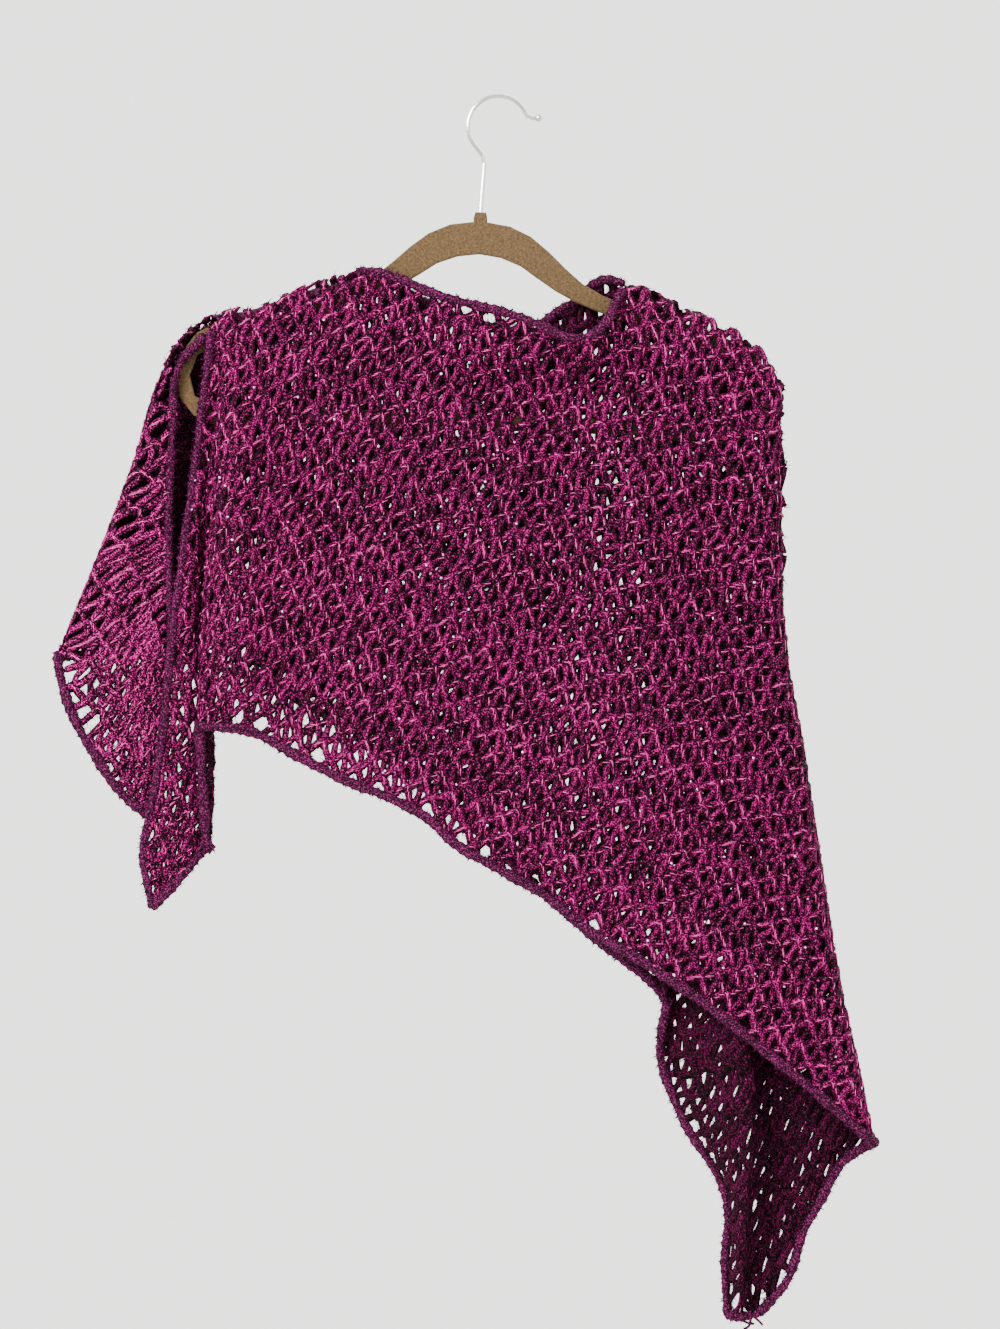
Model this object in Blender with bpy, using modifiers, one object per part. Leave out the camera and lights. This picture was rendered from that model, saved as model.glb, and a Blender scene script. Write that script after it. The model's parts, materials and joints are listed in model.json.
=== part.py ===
"""A knitted mesh poncho hanging on a flocked clothes hanger.

The poncho is one long strip of open knitting folded across the middle. The fold hangs at +X, the two short
ends hang open at -X, and the long top edges are sewn together only along the shoulder at -X. The front looks
along -Y. Sizes are in millimetres in the tables below and metres in the scene, +Z up, and the origin is the
inside top of the hook, where a rail carries it.
"""

import math

import bmesh
import bpy
import numpy as np

MM = 0.001

CLOTH_WALL = 2.4
# Pieces that meet stop this far from each other.
SEAM_GAP = 0.3
# The walls' edges tilt as the cloth turns over a fold, so the middle faces stop this far from the seam's plane.
SEAM_STANDOFF = 0.5

HANGER_THICKNESS = 6.0
HANGER_EDGE_ROUNDING = 1.0
HANGER_CENTRE_X = -12.0
HANGER_TOP_Z = -89.0
HANGER_TILT = math.radians(2.1)
STUB_HALF_WIDTH = 5.0
STUB_HEIGHT = 6.0
HANGER_EDGE_STEPS = 30

HOOK_WIRE_RADIUS = 1.5
HOOK_RADIUS = 22.0
HOOK_CENTRE = (1.0, -20.5)
HOOK_TIP_RADIUS = 2.7

# The top edge of the front, from the seam's end at the arm slit to the tip of the other shoulder. The first
# five rows are the sewn shoulder, then the neckline falls forward as a cowl, and from the row at x = 90 the
# cloth lies over the hanger's arm.
FRONT_TOP = {
    "x": (-199, -178, -143, -114, -98, -86, -68, -43, -15, 14, 32, 50, 66, 77, 85, 92, 101, 113, 135, 164, 181, 193,
          201, 207),
    "z": (-154, -151, -138, -129, -126, -127, -133, -144, -152, -160, -168, -176, -175, -166, -151, -139, -136, -140,
          -152, -163, -173, -184, -196, -209),
    "y": (0, 0, 0, 0, 0, -6, -9, -14, -19, -24, -28, -30, -29, -24, -16, -8, 0, 0, 0, 0, 0, 0, 0, 0),
}
# The back shares both shoulders with the front. Its neck edge lies behind the hanger.
BACK_TOP = {
    "x": (-202, -178, -143, -114, -98, -86, -68, -43, -15, 14, 32, 46, 60, 70, 80, 91, 112, 135, 164, 181, 193, 201,
          207),
    "z": (-154, -151, -138, -129, -126, -128, -138, -152, -162, -167, -163, -152, -145, -134, -131, -134, -140, -152,
          -163, -173, -184, -196, -209),
    "y": (0, 0, 0, 0, 0, 6, 8, 9, 10, 10, 9, 9, 8, 6, 2, 0, 0, 0, 0, 0, 0, 0, 0),
}
FRONT_HEM = {
    "x": (-214, -180, -144, -111, -78, -50, -33, 4, 34, 60, 98, 156, 187, 235, 272),
    "z": (-454, -457, -475, -492, -505, -520, -536, -558, -575, -596, -619, -658, -683, -722, -755),
}
# The back's hem runs level behind the front as far as the tail, whose first row goes on to the corner.
BACK_HEM = {
    "x": (-318, -266, -204, -143, -70, -12, 43, 88, 112, 123),
    "z": (-404, -402, -410, -436, -486, -533, -584, -622, -640, -654),
}
# The tail hangs from the back's last row, section by section down to its tip: its free edge at -X, the pleat
# that stands forward, the hollow behind that pleat and the slanting hem at +X.
TAIL = {
    "down": (0.0, 0.15, 0.35, 0.6, 0.8, 1.0),
    "edge x": (123, 118, 134, 166, 165, 167),
    "edge z": (-654, -690, -738, -795, -846, -880),
    "edge y": (13, 10, 6, 4, 2, 0),
    "pleat x": (178, 179, 179, 177, 175, 173),
    "pleat z": (-690, -714, -755, -808, -852, -881),
    "pleat y": (-14, -15, -16, -14, -11, -6),
    "hollow x": (192, 192, 191, 186, 183, 180),
    "hollow z": (-699, -724, -764, -815, -855, -882),
    "hollow y": (11, 11, 11, 10, 8, 3),
    "hem x": (272, 253, 234, 221, 211, 190),
    "hem z": (-755, -768, -801, -825, -856, -880),
    "hem y": (10, 9, 9, 8, 7, 4),
}
TAIL_ROWS = 13
TAIL_COLUMNS = {"edge to pleat": 6, "pleat to hollow": 5, "hollow to hem": 8}
# The fold at +X, from shoulder to corner, shared by both panels.
RIGHT_FOLD = {
    "x": (207, 204, 205, 206, 211, 220, 233, 247, 262, 272),
    "z": (-209, -240, -300, -362, -414, -465, -550, -638, -707, -755),
}
# The front's short end, section by section down the slit: the free edge, the valley where its pleat goes back,
# and the ridge where the broad front starts.
END_PLEAT = {
    "down": (0.0, 0.25, 0.5, 0.75, 0.93, 1.0),
    "edge x": (-206, -218, -232, -243, -254, -248),
    "edge z": (-170, -272, -376, -481, -556, -584),
    "valley x": (-203, -204, -207, -204, -205, -206),
    "valley z": (-164, -255, -350, -446, -513, -541),
    "valley y": (-5.5, -8, -8, -8, -8, -8),
    "ridge x": (-199, -200, -205, -212, -214, -214),
    "ridge z": (-154, -228, -304, -379, -433, -454),
}
# The back's other end, which comes forward round the hanger's tip: its free edge and its outer fold.
END_LOBE = {
    "down": (0.0, 0.12, 0.3, 0.5, 0.75, 1.0),
    "edge x": (-211, -229, -234, -237, -236, -246),
    "edge z": (-173, -194, -236, -306, -400, -521),
    "edge y": (-8, -9, -8, -6, -4, -3),
    "fold x": (-202, -226, -246, -262, -295, -318),
    "fold z": (-154, -171, -209, -262, -348, -404),
}
# The lobe's own hem, from its free edge to its outer fold.
LOBE_HEM = {
    "x": (-246, -258, -271, -289, -301, -310, -315, -318),
    "z": (-521, -514, -503, -477, -457, -437, -420, -404),
}
# Soft ridges (depth towards -Y, so negative) and troughs, each along a straight line in the front's face.
FRONT_FOLDS = (
    {"name": "ridge beside the slit", "from": (-186, -230), "to": (-194, -440), "width": 17, "depth": -7},
    {"name": "trough beside that ridge", "from": (-148, -230), "to": (-158, -450), "width": 20, "depth": 7},
    {"name": "roll below the neckline", "from": (-20, -176), "to": (130, -182), "width": 15, "depth": -8},
    {"name": "hollow under the roll", "from": (0, -208), "to": (150, -214), "width": 22, "depth": 9},
    {"name": "broad belly", "from": (0, -380), "to": (120, -500), "width": 110, "depth": -6},
    {"name": "pull from the shoulder", "from": (170, -215), "to": (60, -330), "width": 20, "depth": -4},
    {"name": "crease above the hem", "from": (34, -540), "to": (48, -572), "width": 9, "depth": 4},
    {"name": "drag to the corner", "from": (225, -560), "to": (248, -700), "width": 22, "depth": -5},
)
BACK_FOLDS = (
    {"name": "shallow ridge down the back", "from": (-60, -230), "to": (-40, -470), "width": 30, "depth": -5},
    {"name": "second ridge", "from": (80, -240), "to": (110, -560), "width": 32, "depth": -5},
)
# The tail's pleat dies out above its first row, over this height.
PLEAT_FADE = 110.0

# Depth of the two faces by how far down the cloth they are.
FACE_DEPTH = {"down": (0.0, 0.12, 0.3, 0.6, 1.0), "front y": (-8, -13, -19, -23, -24), "back y": (9, 12, 14, 14, 13)}
FOLD_DEPTH_AT_CORNER = -4.0
SHOULDER_TURN = 9.0
SIDE_TURN = 11.0
RIDGE_TURN = 12.0
# Beside the slit the ridge starts at this share of the front's depth.
RIDGE_DEPTH = 0.62
COWL_REACH = 55.0
LOBE_BULGE = 4.0

PANEL_ROWS = 31
MAIN_COLUMNS = 36
REAR_COLUMNS = 24
# The pleat's six lines: how far round the pleat each one is, and its share of the straight line at the top.
PLEAT_LINES = {
    "name": ("edge", "crown", "into bend", "valley", "out of bend", "ridge"),
    "round": (0, 0.36, 0.7, 0.78, 0.86, 1.0),
    "flat": (0, 0.3, 0.52, 0.66, 0.8, 1.0),
}
PLEAT_SHARES = np.array([0, 0.12, 0.24, 0.36, 0.48, 0.6, 0.7, 0.74, 0.78, 0.82, 0.86, 0.93])
VALLEY_BEND = 3.0
PLEAT_EDGE_Y = -8.5
LOBE_COLUMNS = 9
TURN_STEPS = 4
# Where the long strip is cut into stretches: the yoke's share of the way down, and the tail's row at its cut.
YOKE_SHARE = 0.19
TAIL_CUT_ROW = 2
# The walls' ends lean toward each other where the cloth bends, which leaves the seam gap of this one.
STRETCH_GAP = 0.7


def clear_scene():
    for item in list(bpy.data.objects):
        bpy.data.objects.remove(item, do_unlink=True)


def make_material(name, colour, roughness, metallic=0.0):
    material = bpy.data.materials.new(name)
    material.use_nodes = True
    shader = material.node_tree.nodes["Principled BSDF"]
    shader.inputs["Base Color"].default_value = (*colour, 1.0)
    shader.inputs["Roughness"].default_value = roughness
    shader.inputs["Metallic"].default_value = metallic
    return material


def smooth_through(stations, values, at):
    """A curve through the values at the stations: cubic pieces whose slope at each station is its neighbours'."""
    stations = np.asarray(stations, float)
    values = np.asarray(values, float)
    slopes = np.gradient(values, stations, axis=0)
    piece = np.clip(np.searchsorted(stations, at, side="right") - 1, 0, len(stations) - 2)
    length = stations[piece + 1] - stations[piece]
    t = (at - stations[piece]) / length
    shape = (-1,) + (1,) * (values.ndim - 1)
    t, length = t.reshape(shape), length.reshape(shape)
    start, end = values[piece], values[piece + 1]
    start_slope, end_slope = slopes[piece] * length, slopes[piece + 1] * length
    return (
        start * (2 * t**3 - 3 * t**2 + 1)
        + start_slope * (t**3 - 2 * t**2 + t)
        + end * (3 * t**2 - 2 * t**3)
        + end_slope * (t**3 - t**2)
    )


def outline(table, at):
    """Points (x, z, y) of an outline at shares of its length, from 0 to 1."""
    depth = table.get("y", (0,) * len(table["x"]))
    points = np.column_stack([table["x"], table["z"], depth]).astype(float)
    steps = np.hypot(*np.diff(points[:, :2], axis=0).T)
    share = np.concatenate([[0], np.cumsum(steps)]) / steps.sum()
    return smooth_through(share, points, at)


def ease(t):
    """A smooth step from 0 to 1."""
    t = np.clip(t, 0, 1)
    return t * t * (3 - 2 * t)


def round_over(distance, radius):
    """How far a cloth has come forward at this distance from its fold: a quarter circle, then 1."""
    t = np.clip(distance / radius, 0, 1)
    return np.sqrt(1 - (1 - t) ** 2)


def spacing(count, length, turn_at_start, turn_at_end, turn):
    """Shares from 0 to 1, close together where the cloth turns round a fold."""
    arc = (1 - np.cos(np.linspace(0, math.pi / 2, TURN_STEPS + 1))) * turn / length
    start = arc if turn_at_start else np.array([0.0])
    end = 1 - arc[::-1] if turn_at_end else np.array([1.0])
    middle = np.linspace(start[-1], end[0], count - len(start) - len(end) + 3)[1:-1]
    return np.concatenate([start, middle, end])


def patch(top, hem, left, right, across, down):
    """The grid between four edge curves: rows blend top into hem, and the ends follow left and right."""
    a, d = across[None, :, None], down[:, None, None]
    between_rows = top[None] * (1 - d) + hem[None] * d
    between_ends = left[:, None] * (1 - a) + right[:, None] * a
    corners = (
        (top[0] * (1 - a) + top[-1] * a) * (1 - d)
        + (hem[0] * (1 - a) + hem[-1] * a) * d
    )
    return between_rows + between_ends - corners


def line_fold(x, z, fold):
    """Depth that one soft fold adds: a bell across its line, fading past the line's two ends."""
    start, end = np.array(fold["from"], float), np.array(fold["to"], float)
    run = end - start
    t = ((x - start[0]) * run[0] + (z - start[1]) * run[1]) / (run @ run)
    t = np.clip(t, 0, 1)
    gap = np.hypot(x - start[0] - t * run[0], z - start[1] - t * run[1])
    return fold["depth"] * np.exp(-((gap / fold["width"]) ** 2))


def edge_lengths(table):
    return float(np.hypot(np.diff(table["x"]), np.diff(table["z"])).sum())


def rows_down():
    """Shares down the cloth, close together at the top where it turns over the hanger's arm."""
    return spacing(PANEL_ROWS, edge_lengths(RIGHT_FOLD) * 0.75, True, False, SHOULDER_TURN)


def right_fold(down):
    points = outline(RIGHT_FOLD, down)
    points[:, 2] = FOLD_DEPTH_AT_CORNER * down
    return points


def front_main(across, down):
    """The broad front from the ridge beside the slit to the fold at +X, as (rows, columns, xzy)."""
    top, hem = outline(FRONT_TOP, across), outline(FRONT_HEM, across)
    columns = [END_PLEAT[name] for name in ("ridge x", "ridge z")]
    left = smooth_through(END_PLEAT["down"], np.column_stack(columns), down)
    left = np.column_stack([left, np.zeros(len(down))])
    right = right_fold(down)
    grid = patch(top, hem, left, right, across, down)
    x, z = grid[..., 0], grid[..., 1]
    face = smooth_through(FACE_DEPTH["down"], FACE_DEPTH["front y"], down)[:, None]
    face = face + sum(line_fold(x, z, fold) for fold in FRONT_FOLDS) * ease(down / 0.12)[:, None]
    below_top = top[None, :, 1] - z
    sewn = 1 - ease(np.abs(top[:, 2]) / 8)[None]
    turned = face * (1 - sewn * (1 - round_over(below_top, SHOULDER_TURN)))
    turned = turned - SEAM_STANDOFF * sewn * (1 - round_over(below_top, SHOULDER_TURN))
    cowl = (1 - sewn) * (1 - ease(below_top / COWL_REACH))
    depth = turned * (1 - cowl) + top[None, :, 2] * cowl
    from_right = right[:, None, 0] - x
    side = round_over(from_right, SIDE_TURN)
    depth = depth * side + (right[:, None, 2] - SEAM_STANDOFF) * (1 - side)
    from_ridge = x - left[:, None, 0]
    ridge = round_over(from_ridge, RIDGE_TURN)
    behind_by = (1 - ridge) * ease(down / 0.1)[:, None]
    grid[..., 2] = depth * (1 - behind_by) + face * RIDGE_DEPTH * behind_by
    return grid


def front_surface():
    """The whole front: the end pleat's columns, then the broad face."""
    down = rows_down()
    across = spacing(MAIN_COLUMNS, edge_lengths(FRONT_HEM), True, True, SIDE_TURN)
    main = front_main(across, down)
    table = {name: smooth_through(END_PLEAT["down"], END_PLEAT[name], down) for name in END_PLEAT}
    open_by = ease((down - 0.08) / 0.42)
    edge = np.column_stack([table["edge x"], table["edge z"], PLEAT_EDGE_Y - 5 * open_by])
    valley = np.column_stack([table["valley x"], table["valley z"], table["valley y"]])
    crown = edge * 0.5 + valley * 0.5 - (0, 0, 4.5)
    # The cloth turns back in the valley round a bend of this radius, so its two walls stay apart.
    into_bend = valley + (-VALLEY_BEND, 0, VALLEY_BEND)
    out_of_bend = valley + (-VALLEY_BEND, 0, -VALLEY_BEND)
    ridge = main[:, 0]
    lines = np.stack([edge, crown, into_bend, valley, out_of_bend, ridge])
    # At its top the pleat lies flat on the straight line between its two ends.
    flat = edge + (ridge - edge) * np.array(PLEAT_LINES["flat"])[:, None, None]
    lines = flat + (lines - flat) * open_by[:, None]
    # One column of the broad front is added, so the pleat runs on into it without a kink.
    lines = np.concatenate([lines, main[None, :, 2]])
    pleat = smooth_through(PLEAT_LINES["round"] + (1.12,), lines, PLEAT_SHARES).transpose(1, 0, 2)
    return np.concatenate([pleat, main], axis=1)


def tail_line(name, down):
    """One named line of the tail, from its first row to its tip."""
    columns = np.column_stack([TAIL[f"{name} {axis}"] for axis in ("x", "z", "y")])
    return smooth_through(TAIL["down"], columns, down)


def tail_shares():
    """How the tail's columns share the three stretches between its four lines, counted in lines from 0 to 3."""
    ends = np.cumsum([0] + list(TAIL_COLUMNS.values()))
    return np.interp(np.arange(ends[-1] + 1), ends, np.arange(4))


def tail_surface(shares, down):
    """The tail as (rows, columns, xzy): each row runs smoothly through the four lines."""
    lines = np.stack([tail_line(name, down) for name in ("edge", "pleat", "hollow", "hem")])
    return smooth_through(np.arange(4), lines, shares).transpose(1, 0, 2)


def back_surface():
    """The whole back: the lobe that comes forward at -X, then the rear sheet down to the tail's first row."""
    down = rows_down()
    table = {name: smooth_through(END_LOBE["down"], END_LOBE[name], down) for name in END_LOBE}
    fold = np.column_stack([table["fold x"], table["fold z"], np.zeros(len(down))])
    first_row = tail_surface(tail_shares(), np.array([0.0]))[0]
    reach = edge_lengths(BACK_HEM)
    plain = spacing(REAR_COLUMNS, reach, True, False, SIDE_TURN)
    hem = np.concatenate([outline(BACK_HEM, plain), first_row[1:]])
    steps = np.hypot(*np.diff(hem[:, :2], axis=0).T)
    across = np.concatenate([[0], np.cumsum(steps)]) / steps.sum()
    top = outline(BACK_TOP, across)
    right = right_fold(down)
    rear = patch(top, hem, fold, right, across, down)
    x, z = rear[..., 0], rear[..., 1]
    face = smooth_through(FACE_DEPTH["down"], FACE_DEPTH["back y"], down)[:, None]
    face = face + sum(line_fold(x, z, item) for item in BACK_FOLDS)
    below_top = top[None, :, 1] - z
    sewn = 1 - ease(np.abs(top[:, 2]) / 5)[None]
    lift = sewn * (1 - round_over(below_top, SHOULDER_TURN))
    depth = face * (1 - lift) + SEAM_STANDOFF * lift
    neck = (1 - sewn) * (1 - ease(below_top / COWL_REACH))
    depth = depth * (1 - neck) + top[None, :, 2] * neck
    tail_begins = len(plain) - 1
    pleat_grows = ease(1 - (z[:, tail_begins:] - hem[None, tail_begins:, 1]) / PLEAT_FADE)
    depth[:, tail_begins:] += (hem[None, tail_begins:, 2] - depth[-1, tail_begins:]) * pleat_grows
    side = round_over(right[:, None, 0] - x, SIDE_TURN)
    depth = depth * side + (right[:, None, 2] + SEAM_STANDOFF) * (1 - side)
    turn = round_over(x - fold[:, None, 0], SIDE_TURN)
    rear[..., 2] = depth * turn
    share = spacing(LOBE_COLUMNS, 80, False, True, SIDE_TURN)[:-1]
    edge = np.column_stack([table["edge x"], table["edge z"], table["edge y"]])
    a = share[None, :, None]
    lobe = edge[:, None] * (1 - a) + fold[:, None] * a
    lobe[..., :2] += (outline(LOBE_HEM, share)[:, :2] - lobe[-1, :, :2]) * down[:, None, None] ** 2
    width = np.hypot(*(edge - fold)[:, :2].T)[:, None]
    from_fold = (1 - share)[None] * width
    bulge = edge[:, None, 2] - LOBE_BULGE * np.sin(share * math.pi)[None] * ease(down / 0.3)[:, None]
    lobe[..., 2] = bulge * round_over(from_fold, SIDE_TURN)
    return np.concatenate([lobe, rear], axis=1)


def back_tail(back):
    """The tail's grid. Its first row is the back's own last row, so the two sheets are one cloth."""
    shares = tail_shares()
    down = np.linspace(0, 1, TAIL_ROWS + 1)
    grid = tail_surface(shares, down)
    joined = back[-1, -len(shares):]
    fade = (1 - ease(down / 0.3))[:, None, None]
    return grid + (joined - grid[0])[None] * fade


def cut_rows(grid, row):
    """The grid's stretches above and below a row, each drawn back from that row by half a gap.

    The gap is measured square to the row, so a point moves further where its column meets the row at a slant.
    """
    above, below = grid[:row + 1].copy(), grid[row:].copy()
    along = np.gradient(grid[row], axis=0)
    along /= np.linalg.norm(along, axis=-1, keepdims=True)
    for stretch, edge, inner in ((above, -1, -2), (below, 0, 1)):
        run = stretch[inner] - stretch[edge]
        square = run - (run * along).sum(axis=-1, keepdims=True) * along
        stretch[edge] += run / np.linalg.norm(square, axis=-1, keepdims=True) * STRETCH_GAP / 2
    return above, below


def cut_columns(grid, column):
    """The same for a column: the stretches to its left and right."""
    left, right = cut_rows(grid.transpose(1, 0, 2), column)
    return left.transpose(1, 0, 2), right.transpose(1, 0, 2)


def cloth_stretches():
    """Each stretch of the cloth by name, as the grids that make it up."""
    yoke_row = int(np.searchsorted(rows_down(), YOKE_SHARE))
    # Each column cut is past the turn beside it, where the cloth is flat and the two walls' ends are parallel.
    front_pleat, face = cut_columns(front_surface(), len(PLEAT_SHARES) + TURN_STEPS + 2)
    front_yoke, front_panel = cut_rows(face, yoke_row)
    back = back_surface()
    tail_start, corner_tail = cut_rows(back_tail(back), TAIL_CUT_ROW)
    side_lobe, rear = cut_columns(back, LOBE_COLUMNS + TURN_STEPS + 1)
    back_yoke, back_panel = cut_rows(rear, yoke_row)
    return {
        "front_pleat": [front_pleat],
        "front_yoke": [front_yoke],
        "front_panel": [front_panel],
        "back_yoke": [back_yoke],
        "back_panel": [back_panel, tail_start],
        "side_lobe": [side_lobe],
        "corner_tail": [corner_tail],
    }


def to_mesh(name, grids):
    """Sheets of quads from grids of (x, z, y) points in millimetres, joined where their edges meet."""
    shape = bmesh.new()
    for grid in grids:
        rows, columns = grid.shape[:2]
        points = grid[..., [0, 2, 1]].reshape(-1, 3) * MM
        corners = [shape.verts.new(point) for point in points]
        index = np.arange(rows * columns).reshape(rows, columns)
        quads = np.stack([index[:-1, :-1], index[1:, :-1], index[1:, 1:], index[:-1, 1:]], axis=-1).reshape(-1, 4)
        for quad in quads:
            shape.faces.new([corners[corner] for corner in quad])
    bmesh.ops.remove_doubles(shape, verts=shape.verts, dist=0.01 * MM)
    mesh = bpy.data.meshes.new(name)
    shape.to_mesh(mesh)
    shape.free()
    mesh.shade_smooth()
    return mesh


def add_cloth(name, grids, material, collection):
    panel = bpy.data.objects.new(name, to_mesh(name, grids))
    panel.data.materials.append(material)
    wall = panel.modifiers.new("wall", "SOLIDIFY")
    wall.thickness = CLOTH_WALL * MM
    wall.offset = 0.0
    collection.objects.link(panel)
    return panel


# Half of the hanger's edge, from its middle to its tip, in the hanger's own frame: the neck of the arch, the
# sloping arm, the round tip and the trouser bar. The inner edge bounds the gap between arm and bar.
HANGER_OUTER = {
    "x": (5, 20, 33, 46, 58, 74, 95, 130, 165, 192, 204, 211, 215, 214, 208, 196, 120, 0),
    "z": (-1, -3, -8, -17, -28, -42, -53, -63, -73, -83, -90, -101, -116, -132, -144, -151, -151, -151),
}
HANGER_INNER = {
    "x": (0, 15, 27, 44, 62, 78, 98, 130, 165, 186, 196, 203, 206, 205, 200, 190, 120, 0),
    "z": (-24, -26, -30, -41, -52, -59, -66, -76, -86, -94, -99, -107, -118, -128, -136, -140, -140, -140),
}


def closed_outline(table, count):
    """A half edge smoothed through its points, then mirrored to the other side of the hanger."""
    half = outline(table, np.linspace(0, 1, count))[:, :2]
    other = half[::-1] * (-1, 1)
    keep_end = 1 if half[-1, 0] < 1e-6 else 0
    keep_start = len(other) - 1 if half[0, 0] < 1e-6 else len(other)
    return np.concatenate([half, other[keep_end:keep_start]])


def welded_copy(source, name, collection):
    """The curve as one closed mesh, with its loose caps welded to its sides."""
    bpy.context.view_layer.update()
    graph = bpy.context.evaluated_depsgraph_get()
    mesh = bpy.data.meshes.new_from_object(source.evaluated_get(graph))
    shape = bmesh.new()
    shape.from_mesh(mesh)
    bmesh.ops.remove_doubles(shape, verts=shape.verts, dist=1e-6)
    bmesh.ops.recalc_face_normals(shape, faces=shape.faces)
    shape.to_mesh(mesh)
    shape.free()
    mesh.name = name
    result = bpy.data.objects.new(name, mesh)
    result.matrix_world = source.matrix_world
    bpy.data.objects.remove(source, do_unlink=True)
    collection.objects.link(result)
    return result


def add_hanger(material, collection):
    """The flocked hanger: its outline with the gap in it, filled, given its thickness and rounded edges."""
    curve = bpy.data.curves.new("hanger_outline", "CURVE")
    curve.dimensions = "2D"
    curve.fill_mode = "BOTH"
    curve.extrude = (HANGER_THICKNESS / 2 - HANGER_EDGE_ROUNDING) * MM
    curve.bevel_depth = HANGER_EDGE_ROUNDING * MM
    curve.bevel_resolution = 1
    curve.offset = -HANGER_EDGE_ROUNDING * MM
    outer = closed_outline(HANGER_OUTER, HANGER_EDGE_STEPS)
    stub = np.array([
        [-STUB_HALF_WIDTH, STUB_HEIGHT * 0.3],
        [-STUB_HALF_WIDTH * 0.8, STUB_HEIGHT],
        [STUB_HALF_WIDTH * 0.8, STUB_HEIGHT],
        [STUB_HALF_WIDTH, STUB_HEIGHT * 0.3],
    ])
    for points in (np.concatenate([outer, stub]), closed_outline(HANGER_INNER, HANGER_EDGE_STEPS)):
        spline = curve.splines.new("POLY")
        spline.points.add(len(points) - 1)
        flat = np.column_stack([points * MM, np.zeros(len(points)), np.ones(len(points))])
        spline.points.foreach_set("co", flat.ravel())
        spline.use_cyclic_u = True
    guide = bpy.data.objects.new("hanger_outline", curve)
    collection.objects.link(guide)
    guide.rotation_euler = (math.radians(90), HANGER_TILT, 0)
    guide.location = (HANGER_CENTRE_X * MM, 0, HANGER_TOP_Z * MM)
    body = welded_copy(guide, "hanger_body", collection)
    body.data.materials.append(material)
    body.data.shade_smooth()
    body.data.set_sharp_from_angle(angle=math.radians(40))
    return body


def hook_route():
    """The wire's middle line as (x, z): the arc over the rail, the bend under it and the straight stem."""
    angles = np.radians(np.linspace(20, 212, 25))
    arc = np.array(HOOK_CENTRE) + HOOK_RADIUS * np.column_stack([np.cos(angles), np.sin(angles)])
    flare = np.array([(30.0, -14.5), (26.0, -14.6)])
    foot = HANGER_TOP_Z + STUB_HEIGHT + SEAM_GAP
    stem_bends = np.array([(-14.0, -37.0), (-10.6, -41.5), (-9.2, -47.0), (-9.6, -54.0)])
    stem = np.array([(-11.0, -70.0), (HANGER_CENTRE_X + 0.2, foot)])
    return np.concatenate([flare, arc, stem_bends, stem])


def add_hook(material, collection, helpers):
    """The bent wire, with a small ball where its end is finished."""
    route = hook_route()
    curve = bpy.data.curves.new("hook_line", "CURVE")
    curve.dimensions = "3D"
    curve.bevel_depth = HOOK_WIRE_RADIUS * MM
    curve.bevel_resolution = 2
    curve.use_fill_caps = True
    spline = curve.splines.new("POLY")
    spline.points.add(len(route) - 1)
    zeros = np.zeros(len(route))
    flat = np.column_stack([route[:, 0] * MM, zeros, route[:, 1] * MM, zeros + 1])
    spline.points.foreach_set("co", flat.ravel())
    guide = bpy.data.objects.new("hook_line", curve)
    collection.objects.link(guide)
    hook = welded_copy(guide, "hanger_hook", collection)
    bpy.ops.mesh.primitive_uv_sphere_add(
        segments=14, ring_count=8, radius=HOOK_TIP_RADIUS * MM, location=(route[0, 0] * MM, 0, route[0, 1] * MM)
    )
    ball = bpy.context.object
    ball.name = "hook_ball"
    for holder in list(ball.users_collection):
        holder.objects.unlink(ball)
    helpers.objects.link(ball)
    ball.hide_render = True
    ball.display_type = "WIRE"
    join = hook.modifiers.new("ball", "BOOLEAN")
    join.operation = "UNION"
    join.object = ball
    hook.data.materials.append(material)
    hook.data.shade_smooth()
    return hook


def main():
    clear_scene()
    collection = bpy.data.collections.new("poncho_on_hanger")
    helpers = bpy.data.collections.new("helpers")
    for made in (collection, helpers):
        bpy.context.scene.collection.children.link(made)
    yarn = make_material("plum mesh knit", (0.17, 0.012, 0.08), 0.75)
    flock = make_material("tan flocking", (0.34, 0.19, 0.09), 0.9)
    chrome = make_material("chrome wire", (0.72, 0.72, 0.74), 0.18, 1.0)
    for name, grids in cloth_stretches().items():
        add_cloth(name, grids, yarn, collection)
    add_hanger(flock, collection)
    add_hook(chrome, collection, helpers)


main()
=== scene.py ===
# %% [markdown]
# # A knitted mesh poncho on its hanger
#
# The real garment is one long strip of open knitting, folded across the middle and sewn for a hand's width
# on one shoulder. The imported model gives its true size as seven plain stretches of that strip. This lesson
# dresses them: the strip's shape is worked out again on a fine grid, and every strand of yarn is then laid
# along it. Each cell makes one thing, and nearly every one prints what it made. The file is read and run
# from top to bottom.

import json
import math

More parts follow.
